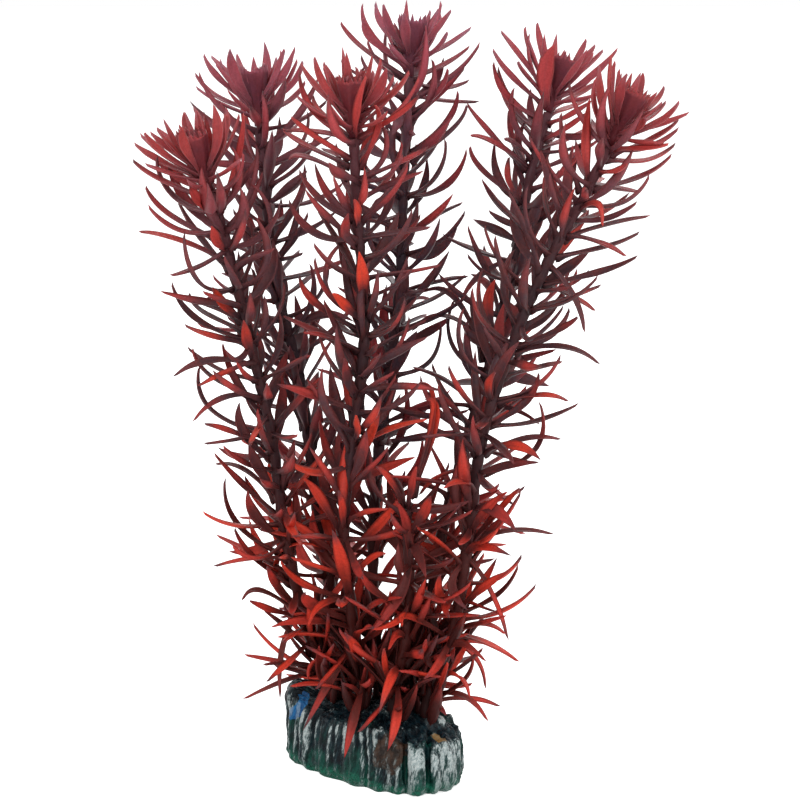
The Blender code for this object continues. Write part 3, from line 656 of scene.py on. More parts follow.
def smooth(x):
    """A step from 0 to 1 without corners."""
    x = np.clip(x, 0.0, 1.0)
    return x * x * (3 - 2 * x)


def fade(value, title):
    """A smooth step over one of the named ranges."""
    start, end = FADES[title]
    return smooth((value - start) / (end - start))


def smooth_curve(a, b, c, d, t):
    """A smooth curve from b to c, with a before and d after them."""
    bend = (2 * a - 5 * b + 4 * c - d) * t ** 2
    return 0.5 * (2 * b + (c - a) * t + bend + (3 * b - a - 3 * c + d) * t ** 3)


class Route:
    """A smooth line through a stem's points, read by the distance from its foot."""

    STEPS = 24

    def __init__(self, points):
        knots = [Vector(point) * MM for point in points]
        knots = [2 * knots[0] - knots[1]] + knots + [2 * knots[-1] - knots[-2]]
        self.line = []
        for four in zip(knots, knots[1:], knots[2:], knots[3:]):
            self.line += [smooth_curve(*four, step / self.STEPS) for step in range(self.STEPS)]
        self.line.append(knots[-2].copy())
        self.distance = [0.0]
        for start, end in zip(self.line, self.line[1:]):
            self.distance.append(self.distance[-1] + (end - start).length)
        self.length = self.distance[-1]

    def frame(self, distance):
        """The point, the tangent and two square directions at a distance from the foot."""
        index = 0
        while index < len(self.line) - 2 and self.distance[index + 1] < distance:
            index += 1
        start, end = self.line[index], self.line[index + 1]
        span = self.distance[index + 1] - self.distance[index]
        point = start + (end - start) * ((distance - self.distance[index]) / span)
        tangent = (end - start).normalized()
        right = Vector((0, 1, 0)).cross(tangent).normalized()
        return point, tangent, right, tangent.cross(right)

    def stem_radius(self, distance):
        return mix(STEM_RADII, min(1.0, distance / self.length))


def around(frame, angle):
    return math.cos(angle) * frame[2] + math.sin(angle) * frame[3]


def ring(frame, radius, sides, turn, height=0.0):
    """Points round a frame, counter-clockwise seen from its tip."""
    centre = frame[0] + frame[1] * height
    return [centre + radius * around(frame, turn + 2 * math.pi * i / sides) for i in range(sides)]


def whorl_side(upper, frame, band, side):
    """Where a leaf of a whorl starts, and the direction in which its side faces."""
    angle = (side + 0.5) * 2 * math.pi / STEM_SIDES + (band + 0.5) * math.pi / STEM_SIDES
    return (upper[side] + upper[(side + 1) % STEM_SIDES]) / 2, around(frame, angle)


def seeded(seed, name):
    """The random draws of one stem or crown."""
    return random.Random(seed + sorted(ROUTES).index(name))


def drawn(draw, middle, spread):
    """An angle drawn round a middle one, degrees to radians; without a spread nothing is drawn."""
    return math.radians(draw.gauss(middle, spread) if spread else middle)


def drawn_shape(draw, lengths, rise, curl, sway, twist, turn=(0, 0)):
    """Random shape of a leaf, from its range of lengths and from its angles with their spreads."""
    return {
        "turn": drawn(draw, *turn),
        "length": draw.uniform(*lengths),
        "rise": drawn(draw, *rise),
        "curl": drawn(draw, *curl),
        "sway": drawn(draw, *sway),
        "twist": drawn(draw, *twist),
    }


def stem_leaf_shape(draw, height):
    """Random shape of a leaf at a height from 0 at the foot to 1 at the crown."""
    rise, curl = ([mix(ends, height) for ends in zip(*angle)] for angle in (LEAF_RISE, LEAF_CURL))
    return {**drawn_shape(draw, rise=rise, curl=curl, **LEAF_SHAPE), "keep": draw.random()}


def leaf_frame(point, up, outward, across, shape, share):
    """The leaf's point, direction, side and upper normal at a share of its length."""
    rise = shape["rise"] + shape["curl"] * share
    sway = shape["sway"] * share
    level = math.cos(sway) * outward + math.sin(sway) * across
    direction = math.cos(rise) * level + math.sin(rise) * up
    flat_side = up.cross(level)
    normal = direction.cross(flat_side)
    side = math.cos(shape["twist"]) * flat_side + math.sin(shape["twist"]) * normal
    return point, direction, side, direction.cross(side)


def leaf_line(start, up, outward, shape):
    """Points, directions, sides and normals along a leaf that bends as an arc."""
    turned = Matrix.Rotation(shape["turn"], 3, up) @ outward
    across = up.cross(turned)
    found = []
    point = start.copy()
    for step in range(LEAF_STEPS + 1):
        share = step / LEAF_STEPS
        found.append(leaf_frame(point, up, turned, across, shape, share))
        heading = leaf_frame(point, up, turned, across, shape, share + 0.5 / LEAF_STEPS)[1]
        point = point + heading * shape["length"] / LEAF_STEPS
    return found


def chord(half):
    """How long the chord of an arc is for its length, by half the arc's angle."""
    return math.sin(half) / half if half > STRAIGHT else 1.0


def bowed(shape, bow):
    """The same leaf with more arc between the same root and nearly the same tip."""
    bow = max(-BOW_LIMIT, min(BOW_LIMIT, bow))
    curl = shape["curl"] + 2 * bow
    longer = chord(0.5 * abs(shape["curl"])) / chord(0.5 * abs(curl))
    return {**shape, "rise": shape["rise"] - bow, "curl": curl, "length": shape["length"] * longer}


def curved_line(root, middle, tip, turn):
    """A leaf's line through three points, seen on edge at a turn of 0 and from above at a right angle."""
    bend = 2 * middle - (root + tip) / 2
    facing = (tip - root).cross(AHEAD).cross(tip - root)
    sign = 1 if facing.cross(tip - root).z > 0 else -1
    found = []
    for step in range(LEAF_STEPS + 1):
        t = TRACED_START + (1 - TRACED_START) * step / LEAF_STEPS
        point = (1 - t) ** 2 * root + 2 * t * (1 - t) * bend + t ** 2 * tip
        direction = ((1 - t) * (bend - root) + t * (tip - bend)).normalized()
        front = direction.cross(-AHEAD).cross(direction).normalized()
        normal = sign * math.cos(turn) * direction.cross(front) + math.sin(turn) * front
        found.append((point, direction, normal.cross(direction), normal))
    return found


def seen_place(column, row, y):
    """The place with a given y that the camera sees at a point of the picture."""
    ray = AHEAD * FOCUS + Vector((column - PICTURE / 2, 0, 0)) - OVERHEAD * (row - PICTURE / 2)
    return CAMERA + ray * (y - CAMERA.y) / ray.y


def seen_row(place):
    """The picture's row at which the camera sees a place."""
    away = place - CAMERA
    return PICTURE / 2 - FOCUS * away.dot(OVERHEAD) / away.dot(AHEAD)


def traced_leaf(spine, row, middle_x, middle_y, tip_x, tip_y, seen, side):
    """Line and half width of a leaf that starts on a spine and is seen at points of the picture."""
    root = min(spine, key=lambda place: abs(seen_row(place) - row))
    flat = [seen_place(middle_x, middle_y, root.y), seen_place(tip_x, tip_y, root.y)]
    length = (flat[0] - root).length + (flat[1] - flat[0]).length
    depth = TRACED_DEPTHS[0]
    if length < TRACED_LENGTH:
        depth = min(TRACED_LEAN * math.sqrt(TRACED_LENGTH ** 2 - length ** 2), TRACED_DEPTHS[1])
    half_width = TRACED_HALF_WIDTH[0] + TRACED_HALF_WIDTH[1] * seen
    scale = FOCUS / (root - CAMERA).dot(AHEAD)
    turn = math.asin(min(1.0, max(0.0, seen - BLADE_SEEN) / (2 * half_width * scale)))
    middle = seen_place(middle_x, middle_y, root.y + TRACED_MIDDLE * side * depth)
    return curved_line(root, middle, seen_place(tip_x, tip_y, root.y + side * depth), turn), half_width


def take_nearest(leaves, line, reach):
    """Take out the leaf that ends nearest to a line's tip, if one does so within reach."""
    def from_tip(leaf):
        return (leaf[0][-1][0] - line[-1][0]).length

    def away(leaf):
        return from_tip(leaf) + ROOT_WEIGHT * (leaf[0][0][0] - line[0][0]).length

    nearest = min(leaves, key=away, default=None)
    if nearest and from_tip(nearest) < reach:
        leaves.remove(nearest)


def width_profile(share, widest, root):
    """Half width of a blade as a share of its widest, from its root to its pointed tip."""
    rising = root + (1 - root) * smooth(share / widest)
    falling = 1 - np.clip((share - widest) / (1 - widest), 0, 1) ** LEAF_TAPER
    return np.where(share < widest, rising, falling)


def add_blade(builder, line, half_width, fine, tint, age=1.0, widest=LEAF_WIDEST, root=LEAF_ROOT_SHARE,
              clasp=LEAF_CLASP):
    """One closed leaf along a line: a folded upper face, a keel below, a pointed tip."""
    shares = np.linspace(0, 1, len(line))
    at = np.linspace(0, 1, LEAF_RINGS + 1)
    frames = [np.array([tuple(row[k]) for row in line]) for k in range(4)]
    points, heading, sides, normals = [
        np.stack([np.interp(at, shares, part[:, axis]) for axis in range(3)], axis=1) for part in frames]
    body = at[:-1]
    width = half_width * width_profile(body, widest, root)
    waves = np.sin(2 * math.pi * (fine.uniform(*LEAF_RIPPLES) * body + fine.random()))
    ripple = LEAF_RIPPLE * waves * width / half_width
    rings = []
    for place, t in enumerate(LEAF_ACROSS):
        height = ripple * t - LEAF_FOLD * width * (1 - abs(t) ** LEAF_FOLD_POWER)
        if place >= LEAF_UPPER:
            keel = LEAF_KEEL + clasp * np.exp(-body / LEAF_CLASP_REACH)
            height -= LEAF_EDGE + keel * (1 - abs(t)) ** LEAF_KEEL_POWER
        rings.append(points[:-1] + sides[:-1] * (t * width)[:, None] + normals[:-1] * height[:, None])
    grid = np.stack(rings, axis=1)
    grid = np.concatenate([grid[:1] - heading[:1, None, :] * LEAF_SUNK, grid])
    rows, across = grid.shape[:2]
    flat = np.concatenate([grid.reshape(-1, 3), points[-1:]])
    blade = np.zeros((len(flat), 3))
    blade[:-1, 0] = np.repeat(np.concatenate([[0.0], body]), across)
    blade[:-1, 1] = np.tile(LEAF_ACROSS, rows)
    blade[-1, 0] = 1.0
    blade[:, 2] = age
    builder.add(flat, tube_faces(rows, across), blade, tint)


def add_tube(builder, rings, tint, along, age):
    """A closed tube through rings of points, with a place and an age for each ring."""
    rows, across = len(rings), len(rings[0])
    flat = np.array([tuple(p) for each in rings for p in each])
    blade = np.zeros((len(flat), 3))
    blade[:, 0] = np.repeat(along, across)
    blade[:, 2] = np.repeat(age, across)
    builder.add(flat, tube_faces(rows, across, pointed=False), blade, tint)


def stem_age(route, place, name):
    """How young the plastic's colour is: 1 under a crown, 0 along the middle, -1 at the foot."""
    below = (route.line[-1] - place).length
    young = 0.0 if name == "short" else float(smooth((YOUNG_REACH - below) / YOUNG_REACH))
    return young - float(smooth((OLD_FROM - place.z) / OLD_REACH))


def near_another_stem(line, name, routes):
    """Whether a leaf runs through a stem that isn't its own."""
    samples = [row[0] for row in line[2::CLEARANCE_STEP]]
    return any((sample - point).length < STEM_CLEARANCE for other, route in routes.items() if other != name
               for sample in samples for point in route.line[::CLEARANCE_STEP])


def in_rock(point):
    """Whether a point lies in the rock or on its top."""
    level = Matrix.Rotation(-ROCK_TURN, 3, "Z") @ Vector((point.x, point.y, 0))
    plan = (level.x / (ROCK_LENGTH / 2)) ** 2 + (level.y / (ROCK_WIDTH / 2)) ** 2
    top = rock_height(2 * level.x / ROCK_LENGTH) + ROCK_CLEARANCE
    return point.z < FLOOR_CLEARANCE or (plan < ROCK_PLAN and point.z < top)


def leaf_tint(fine, name, height, facing):
    """Redness, purple cast (a painted sheen of the white surround) and a chance value of one leaf."""
    back = BACK_STEM_SHEEN.get(name, FRONT_LEAF_SHEEN)
    low = smooth(LOW_FADE * (1 - height / LOW_REACH)) * smooth(height / FOOT_REACH)
    red = fine.betavariate(*RED_DRAW) + LOW_RED * low + OUTWARD_RED * facing + SHEEN_REDNESS * back
    return min(1.0, max(0.0, red)), back * mix((SHEEN_LEAST, 1), fine.random()), fine.random()


def grown_leaves(name, route, routes, builder, fine):
    """The leaves of every whorl that have room, with half width, tint and age; sheath leaves are added."""
    draw = seeded(STEM_SEED, name)
    leaves = []
    bands = max(1, round(route.length / WHORL_PITCH))
    pitch = route.length / bands
    for band in range(bands):
        distance = (band + 0.5) * pitch
        frame = route.frame(distance)
        point, up = frame[:2]
        height = distance / route.length
        above = (band + 1) * pitch
        turn = (band + 1) * math.pi / STEM_SIDES
        upper = ring(route.frame(above), route.stem_radius(above), STEM_SIDES, turn)
        for side in range(STEM_SIDES):
            shape = stem_leaf_shape(draw, height)
            start, outward = whorl_side(upper, frame, band, side)
            facing = outward.dot(Vector((point.x, point.y, 0)).normalized())
            share = LEAF_SHARE + LEAF_SHARE_OUTWARD * facing
            tint = leaf_tint(fine, name, height, facing)
            half_width = mix(LEAF_HALF_WIDTH, height) * fine.uniform(*LEAF_WIDTHS)
            bend = math.radians(fine.uniform(*EXTRA_CURL))
            if shape["keep"] >= share:
                shape["curl"] += bend
            if point.z < LOWEST_WHORL or shape["keep"] > share + mix(EXTRA_SHARE, height) * (1 - share):
                continue
            bow = drawn(fine, mix(LEAF_BOW, height), mix(LEAF_BOW_SPREAD, height))
            shape["twist"] += drawn(fine, 0, mix(FINE_TWIST, height))
            line = leaf_line(start, up, outward, bowed(shape, bow))
            clear = line[-1][0].z > LOWEST_TIP and not any(in_rock(row[0]) for row in line[1:])
            if clear and not near_another_stem(line, name, routes):
                leaves.append((line, half_width, tint, stem_age(route, point, name)))
        if SHEATH_LOWEST <= point.z < SHEATH_HEIGHT:
            add_sheath(builder, frame, fine)
    return leaves


def make_foliage(name, route, routes, material):
    """One stem's core and all its leaves: those of its whorls, the traced ones and the hanging ones."""
    fine = seeded(FINE_STEM_SEED, name)
    builder = Builder()
    add_core(builder, name, route)
    leaves = grown_leaves(name, route, routes, builder, fine)
    traced = []
    # Purple cast of the traced and hanging leaves: a painted sheen of the white surround
    back = BACK_STEM_SHEEN.get(name, FRONT_TRACED_SHEEN)
    for *seen, red, side in TRACED_LEAVES[name]:
        line, half_width = traced_leaf(route.line, *seen, side)
        take_nearest(leaves, line, TRACED_REACH["stem"])
        tint = (red, TRACED_SHEEN * back, fine.random())
        traced.append((line, half_width, tint, stem_age(route, line[0][0], name)))
    for stem, half_width, turn, red, *places in HANGING_LEAVES:
        if stem == name:
            line = curved_line(*(Vector(place) * MM for place in places), math.radians(turn))
            traced.append((line, half_width * MM, (red, back, fine.random()), HANGING_AGE))
    for line, half_width, tint, age in leaves + traced:
        add_blade(builder, line, half_width, fine, tint, age=age)
    piece = builder.make(name + "_stem_leaves", material)
    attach(piece, "root")
    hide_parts(name + "_stem")


def add_sheath(builder, frame, fine):
    """Dark leaves that lie close along the foot of a stem."""
    point, up = frame[:2]
    for _ in range(SHEATH_LEAVES):
        outward = around(frame, fine.uniform(0, 2 * math.pi))
        shape = drawn_shape(fine, **SHEATH_SHAPE)
        tint = (fine.uniform(*SHEATH_RED), 0.0, fine.random())
        line = leaf_line(point + outward * STEM_RADII[0], up, outward, shape)
        half_width = LEAF_HALF_WIDTH[0] * fine.uniform(*SHEATH_WIDTHS)
        add_blade(builder, line, half_width, fine, tint, age=SHEATH_AGE, root=SHEATH_ROOT_SHARE)


def add_core(builder, name, route):
    """The stem itself, swollen under each whorl and fluted."""
    rings = []
    ages = []
    steps = max(1, round(route.length / WHORL_PITCH)) * CORE_RINGS
    for step in range(steps + 1):
        distance = step * route.length / steps
        frame = route.frame(distance)
        centre = frame[0]
        swell = CORE_SWELL * math.sin(math.pi * step / CORE_RINGS) ** 2
        radius = CORE_SCALE * route.stem_radius(distance) + swell
        sides = ring(frame, 1.0, CORE_SIDES, step * math.pi / STEM_SIDES / CORE_RINGS)
        rings.append([centre + (p - centre) * radius * (1.0 if i % 2 else CORE_FLUTE)
                      for i, p in enumerate(sides)])
        foot = smooth((SHEATH_HEIGHT - centre.z) / SHEATH_HEIGHT * 2)
        ages.append(stem_age(route, centre, name) + CORE_FOOT_AGE * foot)
    # The core's purple cast: a painted sheen of the white surround
    tint = (0.0, BACK_STEM_SHEEN.get(name, FRONT_CORE_SHEEN), CORE_CHANCE)
    add_tube(builder, rings, tint, [0.0] * len(rings), ages)


def make_crown(name, route, material):
    """A crown cap: whorls of slender leaves, broad guard leaves and a toothed cup."""
    draw = seeded(CROWN_SEED, name)
    fine = seeded(FINE_CROWN_SEED, name)
    builder = Builder()
    frame = route.frame(route.length)
    base, up = frame[:2]
    # The crown's purple cast: a painted sheen of the white surround
    back = BACK_CROWN_SHEEN.get(name, FRONT_CROWN_SHEEN)
    leaves = []
    for band, angles in enumerate(ROSETTE_WHORLS, 1):
        level = GAP + COLLAR_HEIGHT + ROSETTE_PITCH * band
        upper = ring(frame, STEM_RADII[1], STEM_SIDES, (band + 1) * math.pi / STEM_SIDES, level)
        for side in range(STEM_SIDES):
            shape = drawn_shape(draw, **angles, **ROSETTE_SHAPE)
            start, outward = whorl_side(upper, frame, band, side)
            shape["rise"] -= FRONT_DROP * max(0.0, -outward.y)
            line = leaf_line(start, up, outward, shape)
            leaves.append((line, CROWN_HALF_WIDTH * fine.uniform(*CROWN_WIDTHS), fine.uniform(*CROWN_RED)))
    traced = []
    spine = [base + up * level for level in CROWN_SPINE]
    for *seen, red, side in TRACED_CROWN_LEAVES[name]:
        line, half_width = traced_leaf(spine, *seen, side)
        take_nearest(leaves, line, TRACED_REACH["crown"])
        traced.append((line, half_width, red))
    for line, half_width, red in leaves + traced:
        tint = (red, back * fine.uniform(CROWN_SHEEN_LEAST, 1), fine.random())
        add_blade(builder, line, half_width, fine, tint, **CROWN_BLADE)
    add_cup(builder, frame, fine, back)
    add_guard(builder, frame, fine, back, GUARD_SHARE.get(name, 1.0))
    add_heart(builder, frame, fine, back)
    piece = builder.make(name + "_crown_leaves", material)
    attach(piece, "root")
    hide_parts(name + "_crown")


def add_cup(builder, frame, fine, back):
    """A flared, pleated cup with a toothed rim and a floor inside."""
    base, up = frame[:2]
    sides = 2 * CUP_TEETH
    rings = []
    for row, (level, radius) in enumerate(CUP_WALL):
        centre = base + up * (CUP_LEVEL + level)
        depth = CUP_PLEAT / radius * smooth(row / CUP_PLEAT_ROWS)
        wall = ring(frame, radius, sides, 0.0, CUP_LEVEL + level)
        rings.append([centre + (p - centre) * (1 + depth * math.cos(CUP_PLEATS * 2 * math.pi * i / sides))
                      for i, p in enumerate(wall)])
    teeth = [fine.uniform(*CUP_TOOTH_HEIGHTS) for _ in range(CUP_TEETH)]
    for width, notch, loss in CUP_RIM:
        rim = ring(frame, CUP_RIM_RADIUS * width, sides, 0.0, CUP_LEVEL)
        rings.append([p + up * CUP_RIM_HEIGHT * (teeth[i // 2] - loss if i % 2 else notch)
                      for i, p in enumerate(rim)])
    for width, share in CUP_FLOOR:
        rings.append(ring(frame, CUP_RIM_RADIUS * width, sides, 0.0, CUP_LEVEL + CUP_RIM_HEIGHT * share))
    add_tube(builder, rings, (CUP_RED, back, fine.random()), CUP_RUN, [0.0] * len(rings))


def add_guard(builder, frame, fine, back, size):
    """Broad leaves that stand before the cup and beside it."""
    base, up = frame[:2]
    for level, length, rise, curl, half_width in GUARD_WHORLS:
        for angle in GUARD_ANGLES:
            outward = around(frame, drawn(fine, angle, GUARD_ANGLE_SPREAD))
            lengths = [length * MM * size * share for share in GUARD_LENGTHS]
            shape = drawn_shape(fine, lengths, rise, curl, **GUARD_BENDS)
            start = base + up * (CUP_LEVEL + level * MM) + outward * GUARD_FOOT
            tint = (fine.uniform(*INNER_RED), back * fine.uniform(CROWN_SHEEN_LEAST, 1), fine.random())
            line = leaf_line(start, up, outward, shape)
            add_blade(builder, line, half_width * MM, fine, tint, clasp=GUARD_CLASP, **CROWN_BLADE)


def add_heart(builder, frame, fine, back):
    """Small upright leaves inside the cup."""
    base, up = frame[:2]
    for i in range(HEART_LEAVES):
        outward = around(frame, i * HEART_TURN)
        shape = {
            "turn": 0.0,
            "length": fine.uniform(*HEART_LENGTHS),
            "rise": math.radians(fine.uniform(*HEART_RISE)),
            "curl": math.radians(HEART_CURL),
            "sway": 0.0,
            "twist": drawn(fine, 0, HEART_TWIST_SPREAD),
        }
        start = base + up * (CUP_LEVEL + HEART_LEVEL) + outward * mix(HEART_RADII, i / HEART_LEAVES)
        tint = (fine.uniform(*INNER_RED), back, fine.random())
        add_blade(builder, leaf_line(start, up, outward, shape), HEART_HALF_WIDTH, fine, tint, **HEART_BLADE)


def rock_height(along):
    """Height of the rock's rim; along runs from -1 at its left end to 1 at its right."""
    return ROCK_HEIGHT - ROCK_SLOPE * along + ROCK_RIM_WAVE * math.sin(ROCK_RIM_WAVES * along)


def oval(value):
    return math.copysign(abs(value) ** ROCK_SQUARENESS, value)


def rock_rings():
    """The solid's own rings, on ridges and grooves by turns, with its top as the last one."""
    draw = random.Random(SEED)
    ridges = [(draw.uniform(RIDGE_SHALLOWEST, 1.0), draw.uniform(-RIDGE_DRIFT, RIDGE_DRIFT))
              for _ in range(2 * RIDGES)]
    turn = Matrix.Rotation(ROCK_TURN, 3, "Z")
    rings = []
    for index, (plan, share) in enumerate(ROCK_LEVELS):
        points = []
        for i, (depth, drift) in enumerate(ridges):
            angle = 2 * math.pi * i / len(ridges) + drift
            ridge = RIDGE_DEPTH * depth * (1 if i % 2 == 0 else -1)
            x = (ROCK_LENGTH / 2 + ridge) * plan * oval(math.cos(angle))
            y = (ROCK_WIDTH / 2 + ridge) * plan * oval(math.sin(angle))
            z = rock_height(2 * x / ROCK_LENGTH) * share
            if index == ROCK_LIP_LEVEL:
                z = LIP_HEIGHT * mix(LIP_WAVE, depth)
            points.append(tuple(turn @ Vector((x, y, z))))
        rings.append(points)
    rings.append([(0.0, 0.0, rock_height(0) * ROCK_TOP)] * len(ridges))
    return np.array(rings)


def spline(rows, at, closed):
    """Smooth interpolation between rows at given places, along the first axis."""
    base = np.floor(at).astype(int)
    t = (at - base).reshape(-1, *([1] * (rows.ndim - 1)))
    around_base = [base + k for k in (-1, 0, 1, 2)]
    if closed:
        picked = [rows[index % len(rows)] for index in around_base]
    else:
        picked = [rows[np.clip(index, 0, len(rows) - 1)] for index in around_base]
    return smooth_curve(*picked, t)


def noise_at(points, scale, shift):
    """Smooth noise from -1 to 1 at each point, with a scale per axis in cells per metre."""
    placed = points * np.array(scale) + shift
    return np.array([noise.noise(Vector(p)) for p in placed.tolist()])


def strands_of(values):
    """Thin crests along the places where a noise changes its sign."""
    return 1 - 2 * np.abs(values)


class RockSurface:
    """The rock's fine grid and, point by point, the forms on it that shape its relief and its paint."""

    def __init__(self):
        columns = np.linspace(0, 2 * RIDGES, ROCK_COLUMNS, endpoint=False)
        fine = np.transpose(spline(np.transpose(rock_rings(), (1, 0, 2)), columns, True), (1, 0, 2))
        side = np.linspace(0, ROCK_BROW_LEVEL, ROCK_SIDE_ROWS, endpoint=False)
        top = np.linspace(ROCK_BROW_LEVEL, len(ROCK_LEVELS), ROCK_TOP_ROWS + 1)[:-1]
        grid = spline(fine, np.concatenate([side, top]), False)
        grid[0, :, 2] = 0.0
        sideways = (np.roll(grid, -1, axis=1) - np.roll(grid, 1, axis=1)) / 2
        outward = np.cross(sideways, np.gradient(grid, axis=0))
        outward /= np.linalg.norm(outward, axis=2, keepdims=True) + TINY
        self.rows = len(grid)
        self.flat = grid.reshape(-1, 3)
        self.outward = outward.reshape(-1, 3)
        self.mm = self.flat / MM
        self.upright = fade(self.outward[:, 2], "upright")
        self.flat_top = 1 - self.upright
        self.find_noise()
        self.find_folds(grid[ROCK_SIDE_ROWS // 2])
        self.find_forms()

    def find_noise(self):
        """The noises by their names, some of them leaning as the strokes of the brush do."""
        leaning = self.flat - np.outer(self.flat[:, 2], (STROKE_LEAN, 0, 0))
        self.noise = {title: noise_at(leaning if title in LEANING_NOISE else self.flat, scale, shift)
                      for title, (scale, shift) in ROCK_NOISE.items()}
        self.ragged = RAGGED[0] * self.noise["ragged"] + RAGGED[1] * self.noise["ragged_fine"]
        self.tall = TALL[0] + TALL[1] * self.noise["tall"]
        self.strands = strands_of(self.noise["strands"])
        self.threads = strands_of(self.noise["threads"])

    def find_folds(self, girth):
        """Upright folds at an even pitch along the girth, that wander as they rise."""
        steps = np.linalg.norm(np.diff(girth, axis=0, append=girth[:1]), axis=1)
        length = steps.sum() / MM
        along = np.tile((np.cumsum(steps) - steps) / MM, self.rows)
        wander = WANDER[0] * self.noise["wander"] + WANDER[1] * self.noise["wander_fine"]
        self.fold = np.abs(np.cos(math.pi * round(length / FOLD_PITCH) * along / length + wander))

    def find_forms(self):
        """The boulder, the columns at the front with a groove beside each, and the lump on the top."""
        x, y, z = self.mm.T
        front = fade(-y - FRONT_SLANT * (FRONT_END - x).clip(0), "front")
        self.boulder = self.hump(BOULDER, BOULDER_REACH, 0.5 * self.ragged, BOULDER_SHARPNESS)
        self.lump = self.hump(LUMP, LUMP_REACH)
        rounds = [np.sqrt(np.clip(1 - ((x - middle) / half) ** 2, 0, 1)) for middle, half in COLUMNS]
        shoulder = fade(self.outward[:, 2], "shoulder") * fade(z, "column_top")
        self.column = np.max(rounds, axis=0) * front * shoulder
        cuts = [np.exp(-((x - place) / GROOVE_WIDTH) ** 2) for place in GROOVES]
        self.groove = np.max(cuts, axis=0) * front * fade(z, "groove_foot") * fade(z, "groove_top")
        self.calm = np.clip(1 - CALM_BOULDER * self.boulder - CALM_COLUMN * self.column, 0, 1)

    def reach(self, middle, size, slant=0.0):
        """Distance from a middle, 1 at the reach along each axis."""
        away = self.mm - np.array(middle)
        away[:, 0] -= slant * away[:, 2]
        return np.sqrt(((away / np.array(size)) ** 2).sum(axis=1))

    def hump(self, middle, size, ragged=0.0, sharpness=1.0):
        """A round form: 1 in its middle, 0 from its reach on."""
        return smooth(1 - np.clip((self.reach(middle, size) + ragged) ** sharpness, 0, 1))

    def relief(self):
        """How far each point stands out of the solid's form, mm."""
        noises = self.noise
        fine = (RELIEF["strands"] * (self.strands - STRAND_MIDDLE)
                + RELIEF["threads"] * (self.threads - STRAND_MIDDLE))
        curtain = FOLD_DEPTH * (self.fold - FOLD_MIDDLE) * mix(FOLD_TALL, self.tall)
        found = self.upright * (self.calm * curtain + mix(CALM_FINE, self.calm) * fine)
        found += RELIEF["crumbs"] * noises["crumbs"] + RELIEF["grains"] * noises["grains"]
        found += self.flat_top * (
            RELIEF["top_lumps"] * noises["lumps"] + RELIEF["top_knobs"] * noises["knobs"]
            + RELIEF["top_folds"] * (self.fold - TOP_FOLD_MIDDLE) + RELIEF["top_crumbs"] * noises["crumbs"])
        lip = fade(self.mm[:, 2], "lip")
        rough = RELIEF["lip"] * noises["lip"] + RELIEF["lip_crumbs"] * noises["crumbs"]
        found = found * (1 - LIP_CALM * lip) + lip * rough
        for title, form in (("boulder", self.boulder), ("column", self.column), ("groove", self.groove),
                            ("lump", self.lump)):
            found += RELIEF[title] * form
        peak = self.hump(PEAK, PEAK_REACH) * fade(self.outward[:, 2], "peak")
        return (found + RELIEF["peak"] * peak) * fade(self.mm[:, 2], "foot")

    def crest(self):
        """How much silver each point catches."""
        near_rim = fade(self.mm[:, 2] / (rock_height(0) / MM), "rim")
        ridge = self.fold ** 2
        side = (SILVER["folds"] * ridge * self.calm * mix(CREST_TALL, self.tall)
                + SILVER["strands"] * self.strands + SILVER["threads"] * self.threads
                + SILVER["rim"] * ridge * near_rim + SILVER["bare"] * self.noise["bare"])
        top = (SILVER["top_folds"] * self.fold + SILVER["top_knobs"] * self.noise["knobs"]
               + SILVER["top_lumps"] * self.noise["lumps"])
        forms = SILVER["column"] * self.column + SILVER["groove"] * self.groove + SILVER["lump"] * self.lump
        return np.clip(self.upright * side + self.flat_top * top + forms, 0, 1)

    def patches(self):
        """The painted patches: the boulder, the blue one and the ochre one."""
        return np.stack([
            fade(self.reach(BOULDER, BOULDER_REACH) + self.ragged, "boulder_patch"),
            fade(self.reach(BLUE_PATCH, BLUE_REACH, BLUE_SLANT) + self.ragged, "blue_patch"),
            fade(self.reach(OCHRE_PATCH, OCHRE_REACH) + self.ragged, "ochre_patch")], axis=1)


def make_rock(material):
    """The painted rock: the solid's form with fine folds, a boulder, columns and crevices."""
    surface = RockSurface()
    moved = surface.flat + surface.outward * (surface.relief() * MM)[:, None]
    moved[:, 2] = np.maximum(moved[:, 2], 0.0)
    moved[:ROCK_COLUMNS, 2] = 0.0
    points = np.concatenate([moved, [[0.0, 0.0, rock_height(0) * ROCK_TOP]]])
    height = surface.mm[:, 2] / PAINT_HEIGHT
    paint = np.stack([surface.crest(), height, np.zeros(len(height))], axis=1)
    values = {title: np.concatenate([rows, rows[-1:]])
              for title, rows in (("paint", paint), ("patches", surface.patches()))}
    rock = make_piece("painted_rock", points, tube_faces(surface.rows, ROCK_COLUMNS), values, material)
    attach(rock, "root")
    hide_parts("rock_base")


# The sockets of a mix node that mixes colours
MIX_INPUTS = (0, 6, 7)
MIX_OUTPUT = 2


